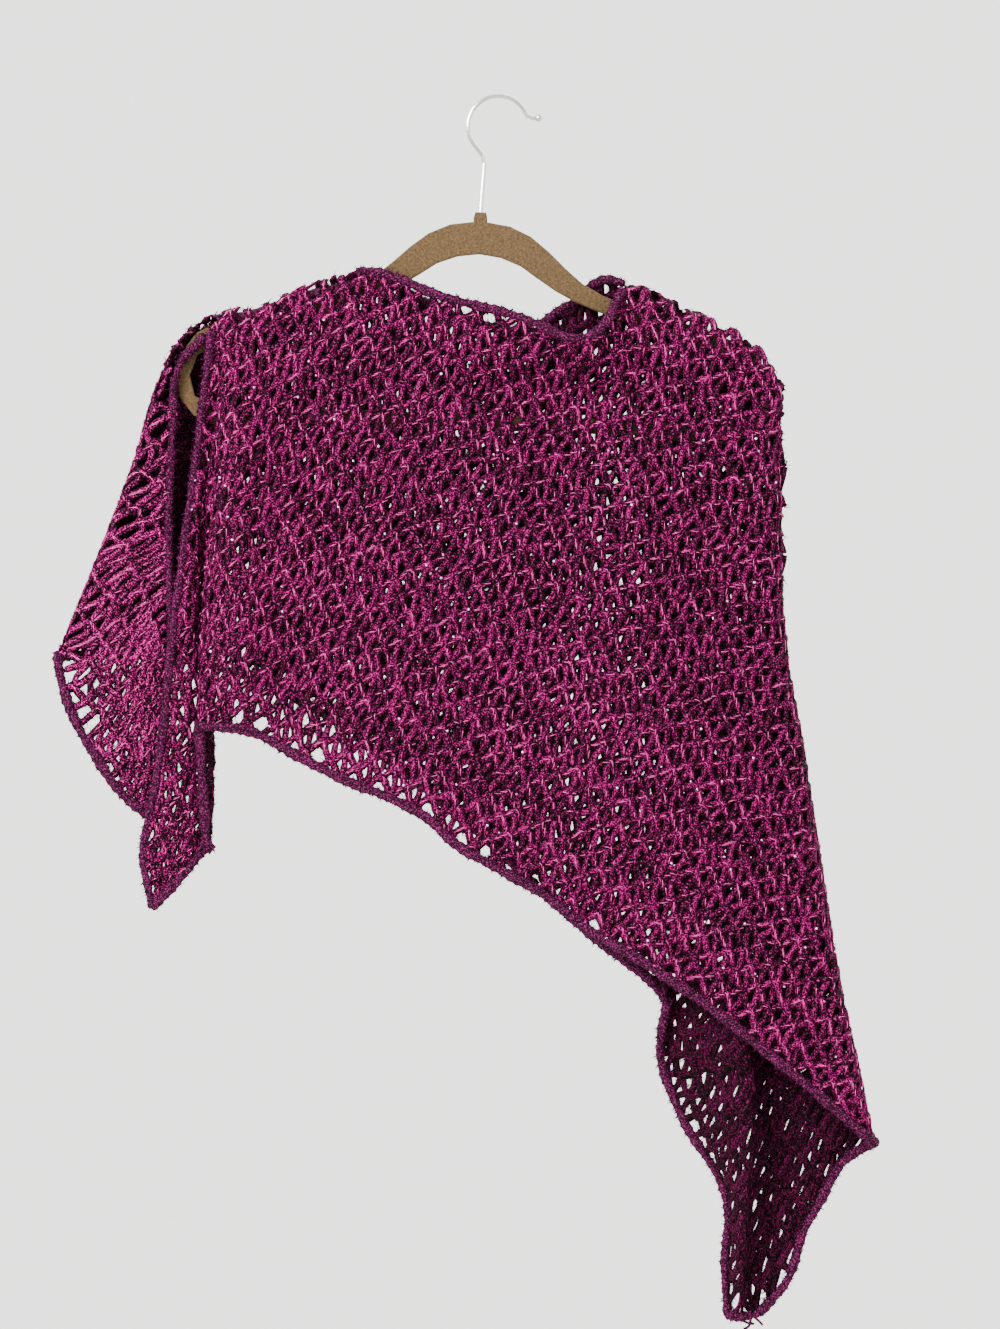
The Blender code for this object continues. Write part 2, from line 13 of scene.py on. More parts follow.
import bpy
import numpy as np
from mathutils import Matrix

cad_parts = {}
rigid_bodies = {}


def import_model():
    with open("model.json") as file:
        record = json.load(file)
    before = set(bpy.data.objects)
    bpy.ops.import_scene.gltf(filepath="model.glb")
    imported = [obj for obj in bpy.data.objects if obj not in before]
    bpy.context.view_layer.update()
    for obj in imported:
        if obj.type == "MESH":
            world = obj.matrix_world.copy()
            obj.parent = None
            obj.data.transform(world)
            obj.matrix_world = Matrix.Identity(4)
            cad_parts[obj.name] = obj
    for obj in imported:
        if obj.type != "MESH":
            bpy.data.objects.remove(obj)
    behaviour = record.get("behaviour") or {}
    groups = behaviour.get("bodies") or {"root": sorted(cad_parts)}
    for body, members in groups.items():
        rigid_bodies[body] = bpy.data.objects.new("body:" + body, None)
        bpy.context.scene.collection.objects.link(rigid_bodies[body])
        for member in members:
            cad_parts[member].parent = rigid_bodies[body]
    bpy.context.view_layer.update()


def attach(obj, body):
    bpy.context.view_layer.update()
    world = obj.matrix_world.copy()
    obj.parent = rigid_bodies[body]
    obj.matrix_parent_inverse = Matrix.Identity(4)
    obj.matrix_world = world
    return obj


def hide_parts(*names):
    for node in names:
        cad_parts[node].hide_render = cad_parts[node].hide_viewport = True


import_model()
MM = 0.001


# %% Helpers for directions, curves and materials
def unit(vectors):
    """The same directions with length 1."""
    return vectors / np.maximum(np.linalg.norm(vectors, axis=-1, keepdims=True), 1e-12)


def resample(points, run, at):
    """Points (n, 3) at other places along their running length."""
    return np.stack([np.interp(at, run, points[:, axis]) for axis in range(3)], axis=1)


def show(name, data):
    """A new object in the scene."""
    item = bpy.data.objects.new(name, data)
    bpy.context.scene.collection.objects.link(item)
    return item


def set_inputs(node, **values):
    """Sets a node's inputs. An underscore stands for a space in an input's name."""
    for name, value in values.items():
        node.inputs[name.replace("_", " ")].default_value = value
    return node


def new_material(name, **values):
    """A material, its node tree, and its shader with some inputs set."""
    material = bpy.data.materials.new(name)
    material.use_nodes = True
    tree = material.node_tree
    return material, tree, set_inputs(tree.nodes["Principled BSDF"], **values)


def add_node(tree, kind, **values):
    return set_inputs(tree.nodes.new("ShaderNode" + kind), **values)


def add_colour_mix(tree):
    mix = add_node(tree, "Mix")
    mix.data_type = "RGBA"
    return mix


def read_attribute(tree, name):
    node = add_node(tree, "Attribute")
    node.attribute_name = name
    return node


def wire(tree, *joins):
    """Links, each given as (node, output, node, input)."""
    for source, output, target, into in joins:
        tree.links.new(source.outputs[output], target.inputs[into])


def add_noise(tree, **values):
    """Noise in Object coordinates, so that it stays on the piece."""
    noise = add_node(tree, "TexNoise", **values)
    wire(tree, (add_node(tree, "TexCoord"), "Object", noise, "Vector"))
    return noise


def vary_roughness(tree, noise, target, lowest, highest):
    """Roughness that follows a noise between two values."""
    spread = add_node(tree, "MapRange", To_Min=lowest, To_Max=highest)
    wire(tree, (noise, "Fac", spread, "Value"), (spread, "Result", target, "Roughness"))


def add_bump(tree, height, output, shader, strength, distance):
    bump = add_node(tree, "Bump", Strength=strength, Distance=distance)
    wire(tree, (height, output, bump, "Height"), (bump, "Normal", shader, "Normal"))


print("the direction of (3, 4, 0):", unit(np.array([3.0, 4.0, 0.0])).tolist())

# %% [markdown]
# ## Camera and light
#
# The photograph looks straight at the garment from about 2.6 m, so the camera is level and its lens follows
# from how many millimetres one pixel of the photograph covers. A camera could be placed by eye, but then no
# edge would land where the photograph has it. The light is a large soft window at the upper left and a
# weaker one at the right, over a pale room.

# %% Camera
PHOTO_SIZE = (1000, 1329)
HOOK_SEAT_PIXEL = (497, 98)
MM_PER_PIXEL = 0.7236
CAMERA_DISTANCE = 2600.0
SENSOR_HEIGHT = 24.0

camera_data = bpy.data.cameras.new("photo_camera")
camera_data.sensor_fit = "VERTICAL"
camera_data.sensor_height = SENSOR_HEIGHT
camera_data.lens = SENSOR_HEIGHT * CAMERA_DISTANCE / (PHOTO_SIZE[1] * MM_PER_PIXEL)
camera = show("photo_camera", camera_data)
camera.location = (
    (PHOTO_SIZE[0] / 2 - HOOK_SEAT_PIXEL[0]) * MM_PER_PIXEL * MM,
    -CAMERA_DISTANCE * MM,
    -(PHOTO_SIZE[1] / 2 - HOOK_SEAT_PIXEL[1]) * MM_PER_PIXEL * MM,
)
camera.rotation_euler = (math.radians(90), 0, 0)
bpy.context.scene.camera = camera
print("lens in mm:", round(camera_data.lens, 1))


# %% Lights, room and floor
def add_window(name, place, aim, size, power):
    """A square soft light at a place, turned so that it shines at a point."""
    data = bpy.data.lights.new(name, "AREA")
    data.size = size
    data.energy = power
    lamp = show(name, data)
    lamp.location = place
    away = np.array(place) - np.array(aim)
    turn = math.atan2(away[0], -away[1])
    tip = math.atan2(math.hypot(away[0], away[1]), away[2])
    lamp.rotation_euler = (tip, 0, turn)


MIDDLE = (0.0, 0.0, -0.45)
add_window("window_upper_left", (-1.6, -2.1, 1.0), MIDDLE, 1.3, 260)
add_window("window_right", (1.9, -1.4, 0.2), MIDDLE, 1.6, 20)
add_window("window_behind", (0.6, 2.2, 0.6), MIDDLE, 1.8, 60)

room = bpy.data.worlds.new("pale_room")
room.use_nodes = True
set_inputs(room.node_tree.nodes["Background"], Color=(0.72, 0.71, 0.70, 1), Strength=3.6)
bpy.context.scene.world = room

FLOOR_DROP = 1.75
FLOOR_HALF = 4.0
floor_mesh = bpy.data.meshes.new("floor")
floor_mesh.from_pydata(
    [(x * FLOOR_HALF, y * FLOOR_HALF, -FLOOR_DROP) for x, y in ((-1, -1), (1, -1), (1, 1), (-1, 1))],
    [],
    [(0, 1, 2, 3)],
)
floor = show("floor", floor_mesh)
floor_mesh.materials.append(new_material("pale floor", Base_Color=(0.75, 0.74, 0.72, 1), Roughness=0.8)[0])

# %% [markdown]
# ## The cloth's middle surface
#
# Hanging cloth could come from a simulation, but the photograph already shows where each fold, edge and
# pleat came to rest. So the surface is drawn from short tables, one column for each point of an edge or
# each section of a fold, in millimetres as the cloth hangs. A patch between four edge curves fills the broad
# faces, and the narrow end pleat and the tail run smoothly through their own lines. These are the same
# tables as the solids' own.

# %% Tables of edges and folds
# The top edge of the front, from the seam's end at the arm slit to the tip of the other shoulder. The first
# five points are the sewn shoulder, then the neckline falls forward as a cowl, and from x = 101 on the cloth
# lies over the hanger's arm.
FRONT_TOP = {
    "x": (-199, -178, -143, -114, -98, -86, -68, -43, -15, 14, 32, 50, 66, 77, 85, 92, 101, 113, 135, 164,
          181, 193, 201, 207),
    "z": (-154, -151, -138, -129, -126, -127, -133, -144, -152, -160, -168, -176, -175, -166, -151, -139,
          -136, -140, -152, -163, -173, -184, -196, -209),
    "y": (0, 0, 0, 0, 0, -6, -9, -14, -19, -24, -28, -30, -29, -24, -16, -8, 0, 0, 0, 0, 0, 0, 0, 0),
}
# The back shares both shoulders with the front. Its neck edge lies behind the hanger.
BACK_TOP = {
    "x": (-202, -178, -143, -114, -98, -86, -68, -43, -15, 14, 32, 46, 60, 70, 80, 91, 112, 135, 164, 181,
          193, 201, 207),
    "z": (-154, -151, -138, -129, -126, -128, -138, -152, -162, -167, -163, -152, -145, -134, -131, -134,
          -140, -152, -163, -173, -184, -196, -209),
    "y": (0, 0, 0, 0, 0, 6, 8, 9, 10, 10, 9, 9, 8, 6, 2, 0, 0, 0, 0, 0, 0, 0, 0),
}
FRONT_HEM = {
    "x": (-214, -180, -144, -111, -78, -50, -33, 4, 34, 60, 98, 156, 187, 235, 272),
    "z": (-454, -457, -475, -492, -505, -520, -536, -558, -575, -596, -619, -658, -683, -722, -755),
}
# The back's hem runs level behind the front as far as the tail, whose first row goes on to the corner.
BACK_HEM = {
    "x": (-318, -266, -204, -143, -70, -12, 43, 88, 112, 123),
    "z": (-404, -402, -410, -436, -486, -533, -584, -622, -640, -654),
}
# The tail hangs from the back's last row, section by section down to its tip: its free edge at -X, the pleat
# that stands forward, the hollow behind that pleat and the slanting hem at +X.
TAIL = {
    "down": (0.0, 0.15, 0.35, 0.6, 0.8, 1.0),
    "edge x": (123, 118, 134, 166, 165, 167),
    "edge z": (-654, -690, -738, -795, -846, -880),
    "edge y": (13, 10, 6, 4, 2, 0),
    "pleat x": (178, 179, 179, 177, 175, 173),
    "pleat z": (-690, -714, -755, -808, -852, -881),
    "pleat y": (-14, -15, -16, -14, -11, -6),
    "hollow x": (192, 192, 191, 186, 183, 180),
    "hollow z": (-699, -724, -764, -815, -855, -882),
    "hollow y": (11, 11, 11, 10, 8, 3),
    "hem x": (272, 253, 234, 221, 211, 190),
    "hem z": (-755, -768, -801, -825, -856, -880),
    "hem y": (10, 9, 9, 8, 7, 4),
}
TAIL_ROWS = 52
TAIL_COLUMNS = {"edge to pleat": 24, "pleat to hollow": 20, "hollow to hem": 32}
# The fold at +X, from shoulder to corner, shared by front and back.
RIGHT_FOLD = {
    "x": (207, 204, 205, 206, 211, 220, 233, 247, 262, 272),
    "z": (-209, -240, -300, -362, -414, -465, -550, -638, -707, -755),
}
# The front's short end, section by section down the slit: the free edge, the valley where its pleat goes
# back, and the ridge where the broad front starts.
END_PLEAT = {
    "down": (0.0, 0.25, 0.5, 0.75, 0.93, 1.0),
    "edge x": (-206, -218, -232, -243, -254, -248),
    "edge z": (-170, -272, -376, -481, -556, -584),
    "valley x": (-203, -204, -207, -204, -205, -206),
    "valley z": (-164, -255, -350, -446, -513, -541),
    "valley y": (-5.5, -8, -8, -8, -8, -8),
    "ridge x": (-199, -200, -205, -212, -214, -214),
    "ridge z": (-154, -228, -304, -379, -433, -454),
}
# The back's other end, which comes forward round the hanger's tip: its free edge and its outer fold.
END_LOBE = {
    "down": (0.0, 0.12, 0.3, 0.5, 0.75, 1.0),
    "edge x": (-211, -229, -234, -237, -236, -246),
    "edge z": (-173, -194, -236, -306, -400, -521),
    "edge y": (-8, -9, -8, -6, -4, -3),
    "fold x": (-202, -226, -246, -262, -295, -318),
    "fold z": (-154, -171, -209, -262, -348, -404),
}
# The lobe's own hem, from its free edge to its outer fold.
LOBE_HEM = {
    "x": (-246, -258, -271, -289, -301, -310, -315, -318),
    "z": (-521, -514, -503, -477, -457, -437, -420, -404),
}
# Soft ridges (depth towards -Y, so negative) and troughs, each along a straight line in the front's face.
FRONT_FOLDS = {
    "ridge beside the slit": {"from": (-186, -230), "to": (-194, -440), "width": 17, "depth": -7},
    "trough beside that ridge": {"from": (-148, -230), "to": (-158, -450), "width": 20, "depth": 7},
    "roll below the neckline": {"from": (-20, -176), "to": (130, -182), "width": 15, "depth": -8},
    "hollow under the roll": {"from": (0, -208), "to": (150, -214), "width": 22, "depth": 9},
    "broad belly": {"from": (0, -380), "to": (120, -500), "width": 110, "depth": -6},
    "pull from the shoulder": {"from": (170, -215), "to": (60, -330), "width": 20, "depth": -4},
    "crease above the hem": {"from": (34, -540), "to": (48, -572), "width": 9, "depth": 4},
    "drag to the corner": {"from": (225, -560), "to": (248, -700), "width": 22, "depth": -5},
}
BACK_FOLDS = {
    "shallow ridge down the back": {"from": (-60, -230), "to": (-40, -470), "width": 30, "depth": -5},
    "second ridge": {"from": (80, -240), "to": (110, -560), "width": 32, "depth": -5},
}
# The tail's pleat dies out above its first row, over this height.
PLEAT_FADE = 110.0

# Depth of the two faces by how far down the cloth they are.
FACE_DEPTH = {
    "down": (0.0, 0.12, 0.3, 0.6, 1.0),
    "front y": (-8, -13, -19, -23, -24),
    "back y": (9, 12, 14, 14, 13),
}
FOLD_DEPTH_AT_CORNER = -4.0
SHOULDER_TURN = 9.0
SIDE_TURN = 11.0
RIDGE_TURN = 12.0
# Beside the slit the ridge starts at this share of the front's depth.
RIDGE_DEPTH = 0.62
COWL_REACH = 55.0
LOBE_BULGE = 4.0
LOBE_WIDTH = 80
# The middle of the cloth drops this share of the fold's length.
MIDDLE_DROP = 0.75
# Folds, the slit's ridge, the lobe's bulge and the tail's own shape grow to full size over these shares of
# the drop.
GROW_OVER = {"folds": 0.12, "ridge": 0.1, "lobe": 0.3, "tail": 0.3}

PANEL_ROWS = 121
MAIN_COLUMNS = 190
REAR_COLUMNS = 150
# How far round the pleat each of its six lines is: its edge, the crown, the way into the bend, the valley,
# the way out and the ridge, and one column of the broad front after it. Then its share of the straight line
# at the top.
PLEAT_LINES = {
    "round": (0, 0.36, 0.7, 0.78, 0.86, 1.0, 1.12),
    "flat": (0, 0.3, 0.52, 0.66, 0.8, 1.0),
}
PLEAT_SHARES = np.linspace(0, 0.97, 40)
VALLEY_BEND = 3.0
PLEAT_EDGE_Y = -8.5
PLEAT_OPENS = (0.08, 0.42)
PLEAT_EDGE_FORWARD = 5
PLEAT_CROWN_FORWARD = 4.5
LOBE_COLUMNS = 60
TURN_STEPS = 4
SEAM_STANDOFF = 0.5
# The neckline is taken as sewn where it stands less far forward than this.
FRONT_SEWN = 8
BACK_SEWN = 5
print("points on the front's top edge:", len(FRONT_TOP["x"]), "soft folds in front:", len(FRONT_FOLDS))


# %% Curves, turns and patches
def smooth_through(stations, values, at):
    """A curve through the values at the stations: cubic pieces, each slope taken from the neighbours."""
    stations = np.asarray(stations, float)
    values = np.asarray(values, float)
    slopes = np.gradient(values, stations, axis=0)
    piece = np.clip(np.searchsorted(stations, at, side="right") - 1, 0, len(stations) - 2)
    length = stations[piece + 1] - stations[piece]
    t = (at - stations[piece]) / length
    shape = (-1,) + (1,) * (values.ndim - 1)
    t, length = t.reshape(shape), length.reshape(shape)
    start, end = values[piece], values[piece + 1]
    start_slope, end_slope = slopes[piece] * length, slopes[piece + 1] * length
    return (
        start * (2 * t**3 - 3 * t**2 + 1)
        + start_slope * (t**3 - 2 * t**2 + t)
        + end * (3 * t**2 - 2 * t**3)
        + end_slope * (t**3 - t**2)
    )


def outline(table, at):
    """Points (x, z, y) of an outline at shares of its length, from 0 to 1."""
    depth = table.get("y", (0,) * len(table["x"]))
    points = np.column_stack([table["x"], table["z"], depth]).astype(float)
    steps = np.hypot(*np.diff(points[:, :2], axis=0).T)
    share = np.concatenate([[0], np.cumsum(steps)]) / steps.sum()
    return smooth_through(share, points, at)


def ease(t):
    """A smooth step from 0 to 1."""
    t = np.clip(t, 0, 1)
    return t * t * (3 - 2 * t)


def round_over(distance, radius):
    """How far a cloth has come forward at this distance from its fold: a quarter circle, then 1."""
    t = np.clip(distance / radius, 0, 1)
    return np.sqrt(1 - (1 - t) ** 2)


def spacing(count, length, turn_at_start, turn_at_end, turn):
    """Shares from 0 to 1, close together where the cloth turns round a fold."""
    arc = (1 - np.cos(np.linspace(0, math.pi / 2, TURN_STEPS + 1))) * turn / length
    start = arc if turn_at_start else np.array([0.0])
    end = 1 - arc[::-1] if turn_at_end else np.array([1.0])
    middle = np.linspace(start[-1], end[0], count - len(start) - len(end) + 3)[1:-1]
    return np.concatenate([start, middle, end])


def patch(top, hem, left, right, across, down):
    """The grid between four edge curves: rows blend top into hem, and the ends follow left and right."""
    a, d = across[None, :, None], down[:, None, None]
    between_rows = top[None] * (1 - d) + hem[None] * d
    between_ends = left[:, None] * (1 - a) + right[:, None] * a
    corners = (
        (top[0] * (1 - a) + top[-1] * a) * (1 - d)
        + (hem[0] * (1 - a) + hem[-1] * a) * d
    )
    return between_rows + between_ends - corners


def line_fold(x, z, fold):
    """Depth that one soft fold adds: a bell across its line, fading past the line's two ends."""
    start, end = np.array(fold["from"], float), np.array(fold["to"], float)
    run = end - start
    t = ((x - start[0]) * run[0] + (z - start[1]) * run[1]) / (run @ run)
    t = np.clip(t, 0, 1)
    gap = np.hypot(x - start[0] - t * run[0], z - start[1] - t * run[1])
    return fold["depth"] * np.exp(-((gap / fold["width"]) ** 2))


def edge_lengths(table):
    return float(np.hypot(np.diff(table["x"]), np.diff(table["z"])).sum())


def table_line(table, name, down):
    """One named line of a table, as (x, z, y) at shares of its height. A line without a y lies at 0."""
    columns = [table.get(f"{name} {axis}", (0,) * len(table["down"])) for axis in ("x", "z", "y")]
    return smooth_through(table["down"], np.column_stack(columns), down)


def face_depth(name, folds, x, z, grown):
    """A face's depth down the cloth, with its soft folds added."""
    plain = smooth_through(FACE_DEPTH["down"], FACE_DEPTH[name], down)[:, None]
    return plain + sum(line_fold(x, z, fold) for fold in folds.values()) * grown


def hang_from_top(face, top, z, side, sewn_within):
    """A face's depth below its top edge: turned in to the seam where it is sewn, and on the cowl elsewhere.

    side is -1 for the front and 1 for the back.
    """
    below_top = top[None, :, 1] - z
    sewn = 1 - ease(np.abs(top[:, 2]) / sewn_within)[None]
    turned_in = sewn * (1 - round_over(below_top, SHOULDER_TURN))
    depth = face * (1 - turned_in) + side * SEAM_STANDOFF * turned_in
    cowl = (1 - sewn) * (1 - ease(below_top / COWL_REACH))
    return depth * (1 - cowl) + top[None, :, 2] * cowl


def meet_at_fold(depth, x, side):
    """The depth turned in to the fold at +X, where front and back meet."""
    open_by = round_over(right_fold[:, None, 0] - x, SIDE_TURN)
    return depth * open_by + (right_fold[:, None, 2] + side * SEAM_STANDOFF) * (1 - open_by)


print("a smooth step at its quarters:", np.round(ease(np.linspace(0, 1, 5)), 3).tolist())

# %% The front
# Rows and columns lie closer together where the cloth turns, over the hanger's arm and round both folds.
down = spacing(PANEL_ROWS, edge_lengths(RIGHT_FOLD) * MIDDLE_DROP, True, False, SHOULDER_TURN)
front_across = spacing(MAIN_COLUMNS, edge_lengths(FRONT_HEM), True, True, SIDE_TURN)
rear_across = spacing(REAR_COLUMNS, edge_lengths(BACK_HEM), True, False, SIDE_TURN)
right_fold = outline(RIGHT_FOLD, down)
right_fold[:, 2] = FOLD_DEPTH_AT_CORNER * down

# The broad face runs from the ridge beside the slit to the fold at +X. Grids are (rows, columns, xzy).
top = outline(FRONT_TOP, front_across)
ridge = table_line(END_PLEAT, "ridge", down)
main = patch(top, outline(FRONT_HEM, front_across), ridge, right_fold, front_across, down)
x, z = main[..., 0], main[..., 1]
face = face_depth("front y", FRONT_FOLDS, x, z, ease(down / GROW_OVER["folds"])[:, None])
depth = meet_at_fold(hang_from_top(face, top, z, -1, FRONT_SEWN), x, -1)
beside_slit = 1 - round_over(x - ridge[:, None, 0], RIDGE_TURN)
behind_by = beside_slit * ease(down / GROW_OVER["ridge"])[:, None]
main[..., 2] = depth * (1 - behind_by) + face * RIDGE_DEPTH * behind_by

open_by = ease((down - PLEAT_OPENS[0]) / PLEAT_OPENS[1])
edge, valley = table_line(END_PLEAT, "edge", down), table_line(END_PLEAT, "valley", down)
edge[:, 2] = PLEAT_EDGE_Y - PLEAT_EDGE_FORWARD * open_by
crown = edge * 0.5 + valley * 0.5 - (0, 0, PLEAT_CROWN_FORWARD)
# The cloth turns back in the valley round a bend of this radius, so its two walls stay apart.
into_bend = valley + (-VALLEY_BEND, 0, VALLEY_BEND)
out_of_bend = valley + (-VALLEY_BEND, 0, -VALLEY_BEND)
lines = np.stack([edge, crown, into_bend, valley, out_of_bend, main[:, 0]])
# At its top the pleat lies flat on the straight line between its two ends.
flat = edge + (main[:, 0] - edge) * np.array(PLEAT_LINES["flat"])[:, None, None]
lines = flat + (lines - flat) * open_by[:, None]
# The broad front's next column is added, so the pleat runs on into it without a kink.
lines = np.concatenate([lines, main[None, :, 2]])
pleat = smooth_through(PLEAT_LINES["round"], lines, PLEAT_SHARES).transpose(1, 0, 2)
front_grid = np.concatenate([pleat, main], axis=1)
print("front grid:", front_grid.shape)

# %% The back and its tail
# Each row of the tail runs smoothly through its four lines.
ends = np.cumsum([0] + list(TAIL_COLUMNS.values()))
tail_across = np.interp(np.arange(ends[-1] + 1), ends, np.arange(4))
tail_down = np.linspace(0, 1, TAIL_ROWS + 1)
lines = np.stack([table_line(TAIL, name, tail_down) for name in ("edge", "pleat", "hollow", "hem")])
tail_grid = smooth_through(np.arange(4), lines, tail_across).transpose(1, 0, 2)

# The rear sheet hangs down to its own hem and then to the tail's first row.
hem = np.concatenate([outline(BACK_HEM, rear_across), tail_grid[0, 1:]])
steps = np.hypot(*np.diff(hem[:, :2], axis=0).T)
across = np.concatenate([[0], np.cumsum(steps)]) / steps.sum()
top = outline(BACK_TOP, across)
lobe_fold, edge = table_line(END_LOBE, "fold", down), table_line(END_LOBE, "edge", down)
rear = patch(top, hem, lobe_fold, right_fold, across, down)
x, z = rear[..., 0], rear[..., 1]
depth = hang_from_top(face_depth("back y", BACK_FOLDS, x, z, 1), top, z, 1, BACK_SEWN)
begins = len(rear_across) - 1
pleat_grows = ease(1 - (z[:, begins:] - hem[None, begins:, 1]) / PLEAT_FADE)
depth[:, begins:] += (hem[None, begins:, 2] - depth[-1, begins:]) * pleat_grows
rear[..., 2] = meet_at_fold(depth, x, 1) * round_over(x - lobe_fold[:, None, 0], SIDE_TURN)

# The lobe comes forward at -X, from its free edge to its outer fold.
share = spacing(LOBE_COLUMNS, LOBE_WIDTH, False, True, SIDE_TURN)[:-1]
a = share[None, :, None]
lobe = edge[:, None] * (1 - a) + lobe_fold[:, None] * a
lobe[..., :2] += (outline(LOBE_HEM, share)[:, :2] - lobe[-1, :, :2]) * down[:, None, None] ** 2
from_fold = (1 - share)[None] * np.hypot(*(edge - lobe_fold)[:, :2].T)[:, None]
bulge = LOBE_BULGE * np.sin(share * math.pi)[None] * ease(down / GROW_OVER["lobe"])[:, None]
lobe[..., 2] = (edge[:, None, 2] - bulge) * round_over(from_fold, SIDE_TURN)
back_grid = np.concatenate([lobe, rear], axis=1)

# The tail's first row is moved onto the back's own last row, so the two sheets are one cloth.
joined = back_grid[-1, -len(tail_across):] - tail_grid[0]
tail_grid = tail_grid + joined[None] * (1 - ease(tail_down / GROW_OVER["tail"]))[:, None, None]
print("back grid:", back_grid.shape, "tail grid:", tail_grid.shape)

# %% [markdown]
# ## Laying the cloth out flat
#
# Yarn doesn't stretch where cloth folds, so its pattern has to be laid out on the cloth as it would lie on
# a table. Each grid row's running length across is the flat position, and height stays height. Both are
# then resampled on an even chart, so that any flat position can be looked up as a point in space with its
# normal.

# %% Charts
CHART_STEP = 1.5
CHART_ACROSS = (-460.0, 330.0)
EDGE_CELLS = 6
NEIGHBOURS = ((0, -1), (0, 1), (1, -1), (1, 1))


def running_length(grid, anchor):
    """Flat position across: the summed steps seen from above. The anchor column keeps its x."""
    steps = np.hypot(np.diff(grid[..., 0], axis=1), np.diff(grid[..., 2], axis=1))
    along = np.concatenate([np.zeros((len(grid), 1)), np.cumsum(steps, axis=1)], axis=1)
    return along + (grid[:, anchor, 0] - along[:, anchor])[:, None]


def resample_rows(grid, along, across):
    """Every row's points at the same flat positions, with nothing (nan) past the row's two ends."""
    lines = [
        [np.interp(across, at, row[:, axis], np.nan, np.nan) for axis in range(3)]
        for row, at in zip(grid, along)
    ]
    return np.array(lines).transpose(0, 2, 1)


def make_chart(rows_at, across, outward):
    """A chart from rows of points: each column at even heights, with normals from the cross product."""
    highest = np.nanmax(rows_at[..., 1])
    lowest = np.nanmin(rows_at[..., 1])
    heights = np.arange(highest, lowest - CHART_STEP, -CHART_STEP)
    points = np.full((len(heights), len(across), 3), np.nan)
    for column in range(len(across)):
        line = rows_at[:, column]
        line = line[~np.isnan(line[:, 0])]
        if len(line) > 1:
            line = line[np.argsort(-line[:, 1])]
            for axis in range(3):
                points[:, column, axis] = np.interp(-heights, -line[:, 1], line[:, axis], np.nan, np.nan)
    inside = ~np.isnan(points[..., 0])
    for _ in range(EDGE_CELLS):
        points = grow_edge(points)
    points = points[..., [0, 2, 1]]
    normals = unit(np.cross(np.gradient(points, axis=1), np.gradient(points, axis=0)) * outward)
    # The yarn may run one cell past the cloth's edge, which ends it inside the edge's roll.
    reach = inside.copy()
    for axis, shift in NEIGHBOURS:
        reach |= np.roll(inside, shift, axis=axis)
    return {"across": across[0], "top": heights[0], "points": points, "normals": normals, "inside": reach}


def grow_edge(points):
    """The chart with one more cell of points round its edge: the mean of straight lines out of the cloth."""
    filled = ~np.isnan(points[..., 0])
    total = np.zeros_like(points)
    count = np.zeros(filled.shape)
    for axis, shift in NEIGHBOURS:
        near, next_near = np.roll(points, shift, axis=axis), np.roll(points, 2 * shift, axis=axis)
        good = np.roll(filled, shift, axis=axis) & np.roll(filled, 2 * shift, axis=axis)
        total += np.where(good[..., None], 2 * near - next_near, 0)
        count += good
    new = np.where(count[..., None] > 0, total / np.maximum(count, 1)[..., None], np.nan)
    return np.where(filled[..., None], points, new)


def blend(field, row, column, down, across):
    """The mean of a field's four nearest cells."""
    upper = field[row, column] * (1 - across) + field[row, column + 1] * across
    lower = field[row + 1, column] * (1 - across) + field[row + 1, column + 1] * across
    return upper * (1 - down) + lower * down


def look_up(chart, u, v):
    """Points and normals at flat positions, and whether each is on the cloth."""
    rows, columns = chart["inside"].shape
    x = np.clip((u - chart["across"]) / CHART_STEP, 0, columns - 1.001)
    y = np.clip((chart["top"] - v) / CHART_STEP, 0, rows - 1.001)
    column, row = x.astype(int), y.astype(int)
    across, down = (x - column)[..., None], (y - row)[..., None]
    point, normal = (blend(chart[name], row, column, down, across) for name in ("points", "normals"))
    inside = chart["inside"][row, column] & chart["inside"][row + 1, column + 1]
    inside &= (u > chart["across"]) & (v < chart["top"]) & (y < rows - 2) & (x < columns - 2)
    return point, normal, inside & ~np.isnan(point[..., 0]) & ~np.isnan(normal[..., 0])


# %% The front and the back laid out
flat_across = np.arange(*CHART_ACROSS, CHART_STEP)
front_along = running_length(front_grid, len(PLEAT_SHARES) + MAIN_COLUMNS // 2)
front_chart = make_chart(resample_rows(front_grid, front_along, flat_across), flat_across, -1)

back_along = running_length(back_grid, LOBE_COLUMNS + REAR_COLUMNS // 2)
tail_along = running_length(tail_grid, 0)
tail_pleat = TAIL_COLUMNS["edge to pleat"]
first_tail_column = back_grid.shape[1] - tail_grid.shape[1]
pleat_x = tail_grid[:, tail_pleat, 0]
pleat_at = back_along[-1, first_tail_column + tail_pleat] + pleat_x - pleat_x[0]
tail_along += (pleat_at - tail_along[:, tail_pleat])[:, None]
back_rows = np.concatenate([
    resample_rows(back_grid, back_along, flat_across),
    resample_rows(tail_grid[1:], tail_along[1:], flat_across),
])
back_chart = make_chart(back_rows, flat_across, 1)
for name, chart in (("front", front_chart), ("back", back_chart)):
    print(name, "chart", chart["inside"].shape, "cloth in square metres:",
          round(float(chart["inside"].sum()) * (CHART_STEP * MM) ** 2, 3))

# %% [markdown]
# ## Stretches of the strip
#
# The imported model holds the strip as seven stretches, each a node of its own. The mesh is wound right
# across their borders, and each strand is only handed to the stretch that it lies on, so every node gets
# its own replacement.

# %% Borders between the stretches
PLEAT_SHARE = 0.088
LOBE_SHARE = 0.07
YOKE_SHARE = 0.203
TAIL_SHARE = 0.154
FRONT_STRETCHES = ("front_pleat", "front_yoke", "front_panel")
BACK_STRETCHES = ("side_lobe", "back_yoke", "back_panel", "corner_tail")


def column_border(grid, along, column):
    """The flat position of one column at every height: (height, flat position), rising."""
    order = np.argsort(grid[:, column, 1])
    return grid[order, column, 1], along[order, column]


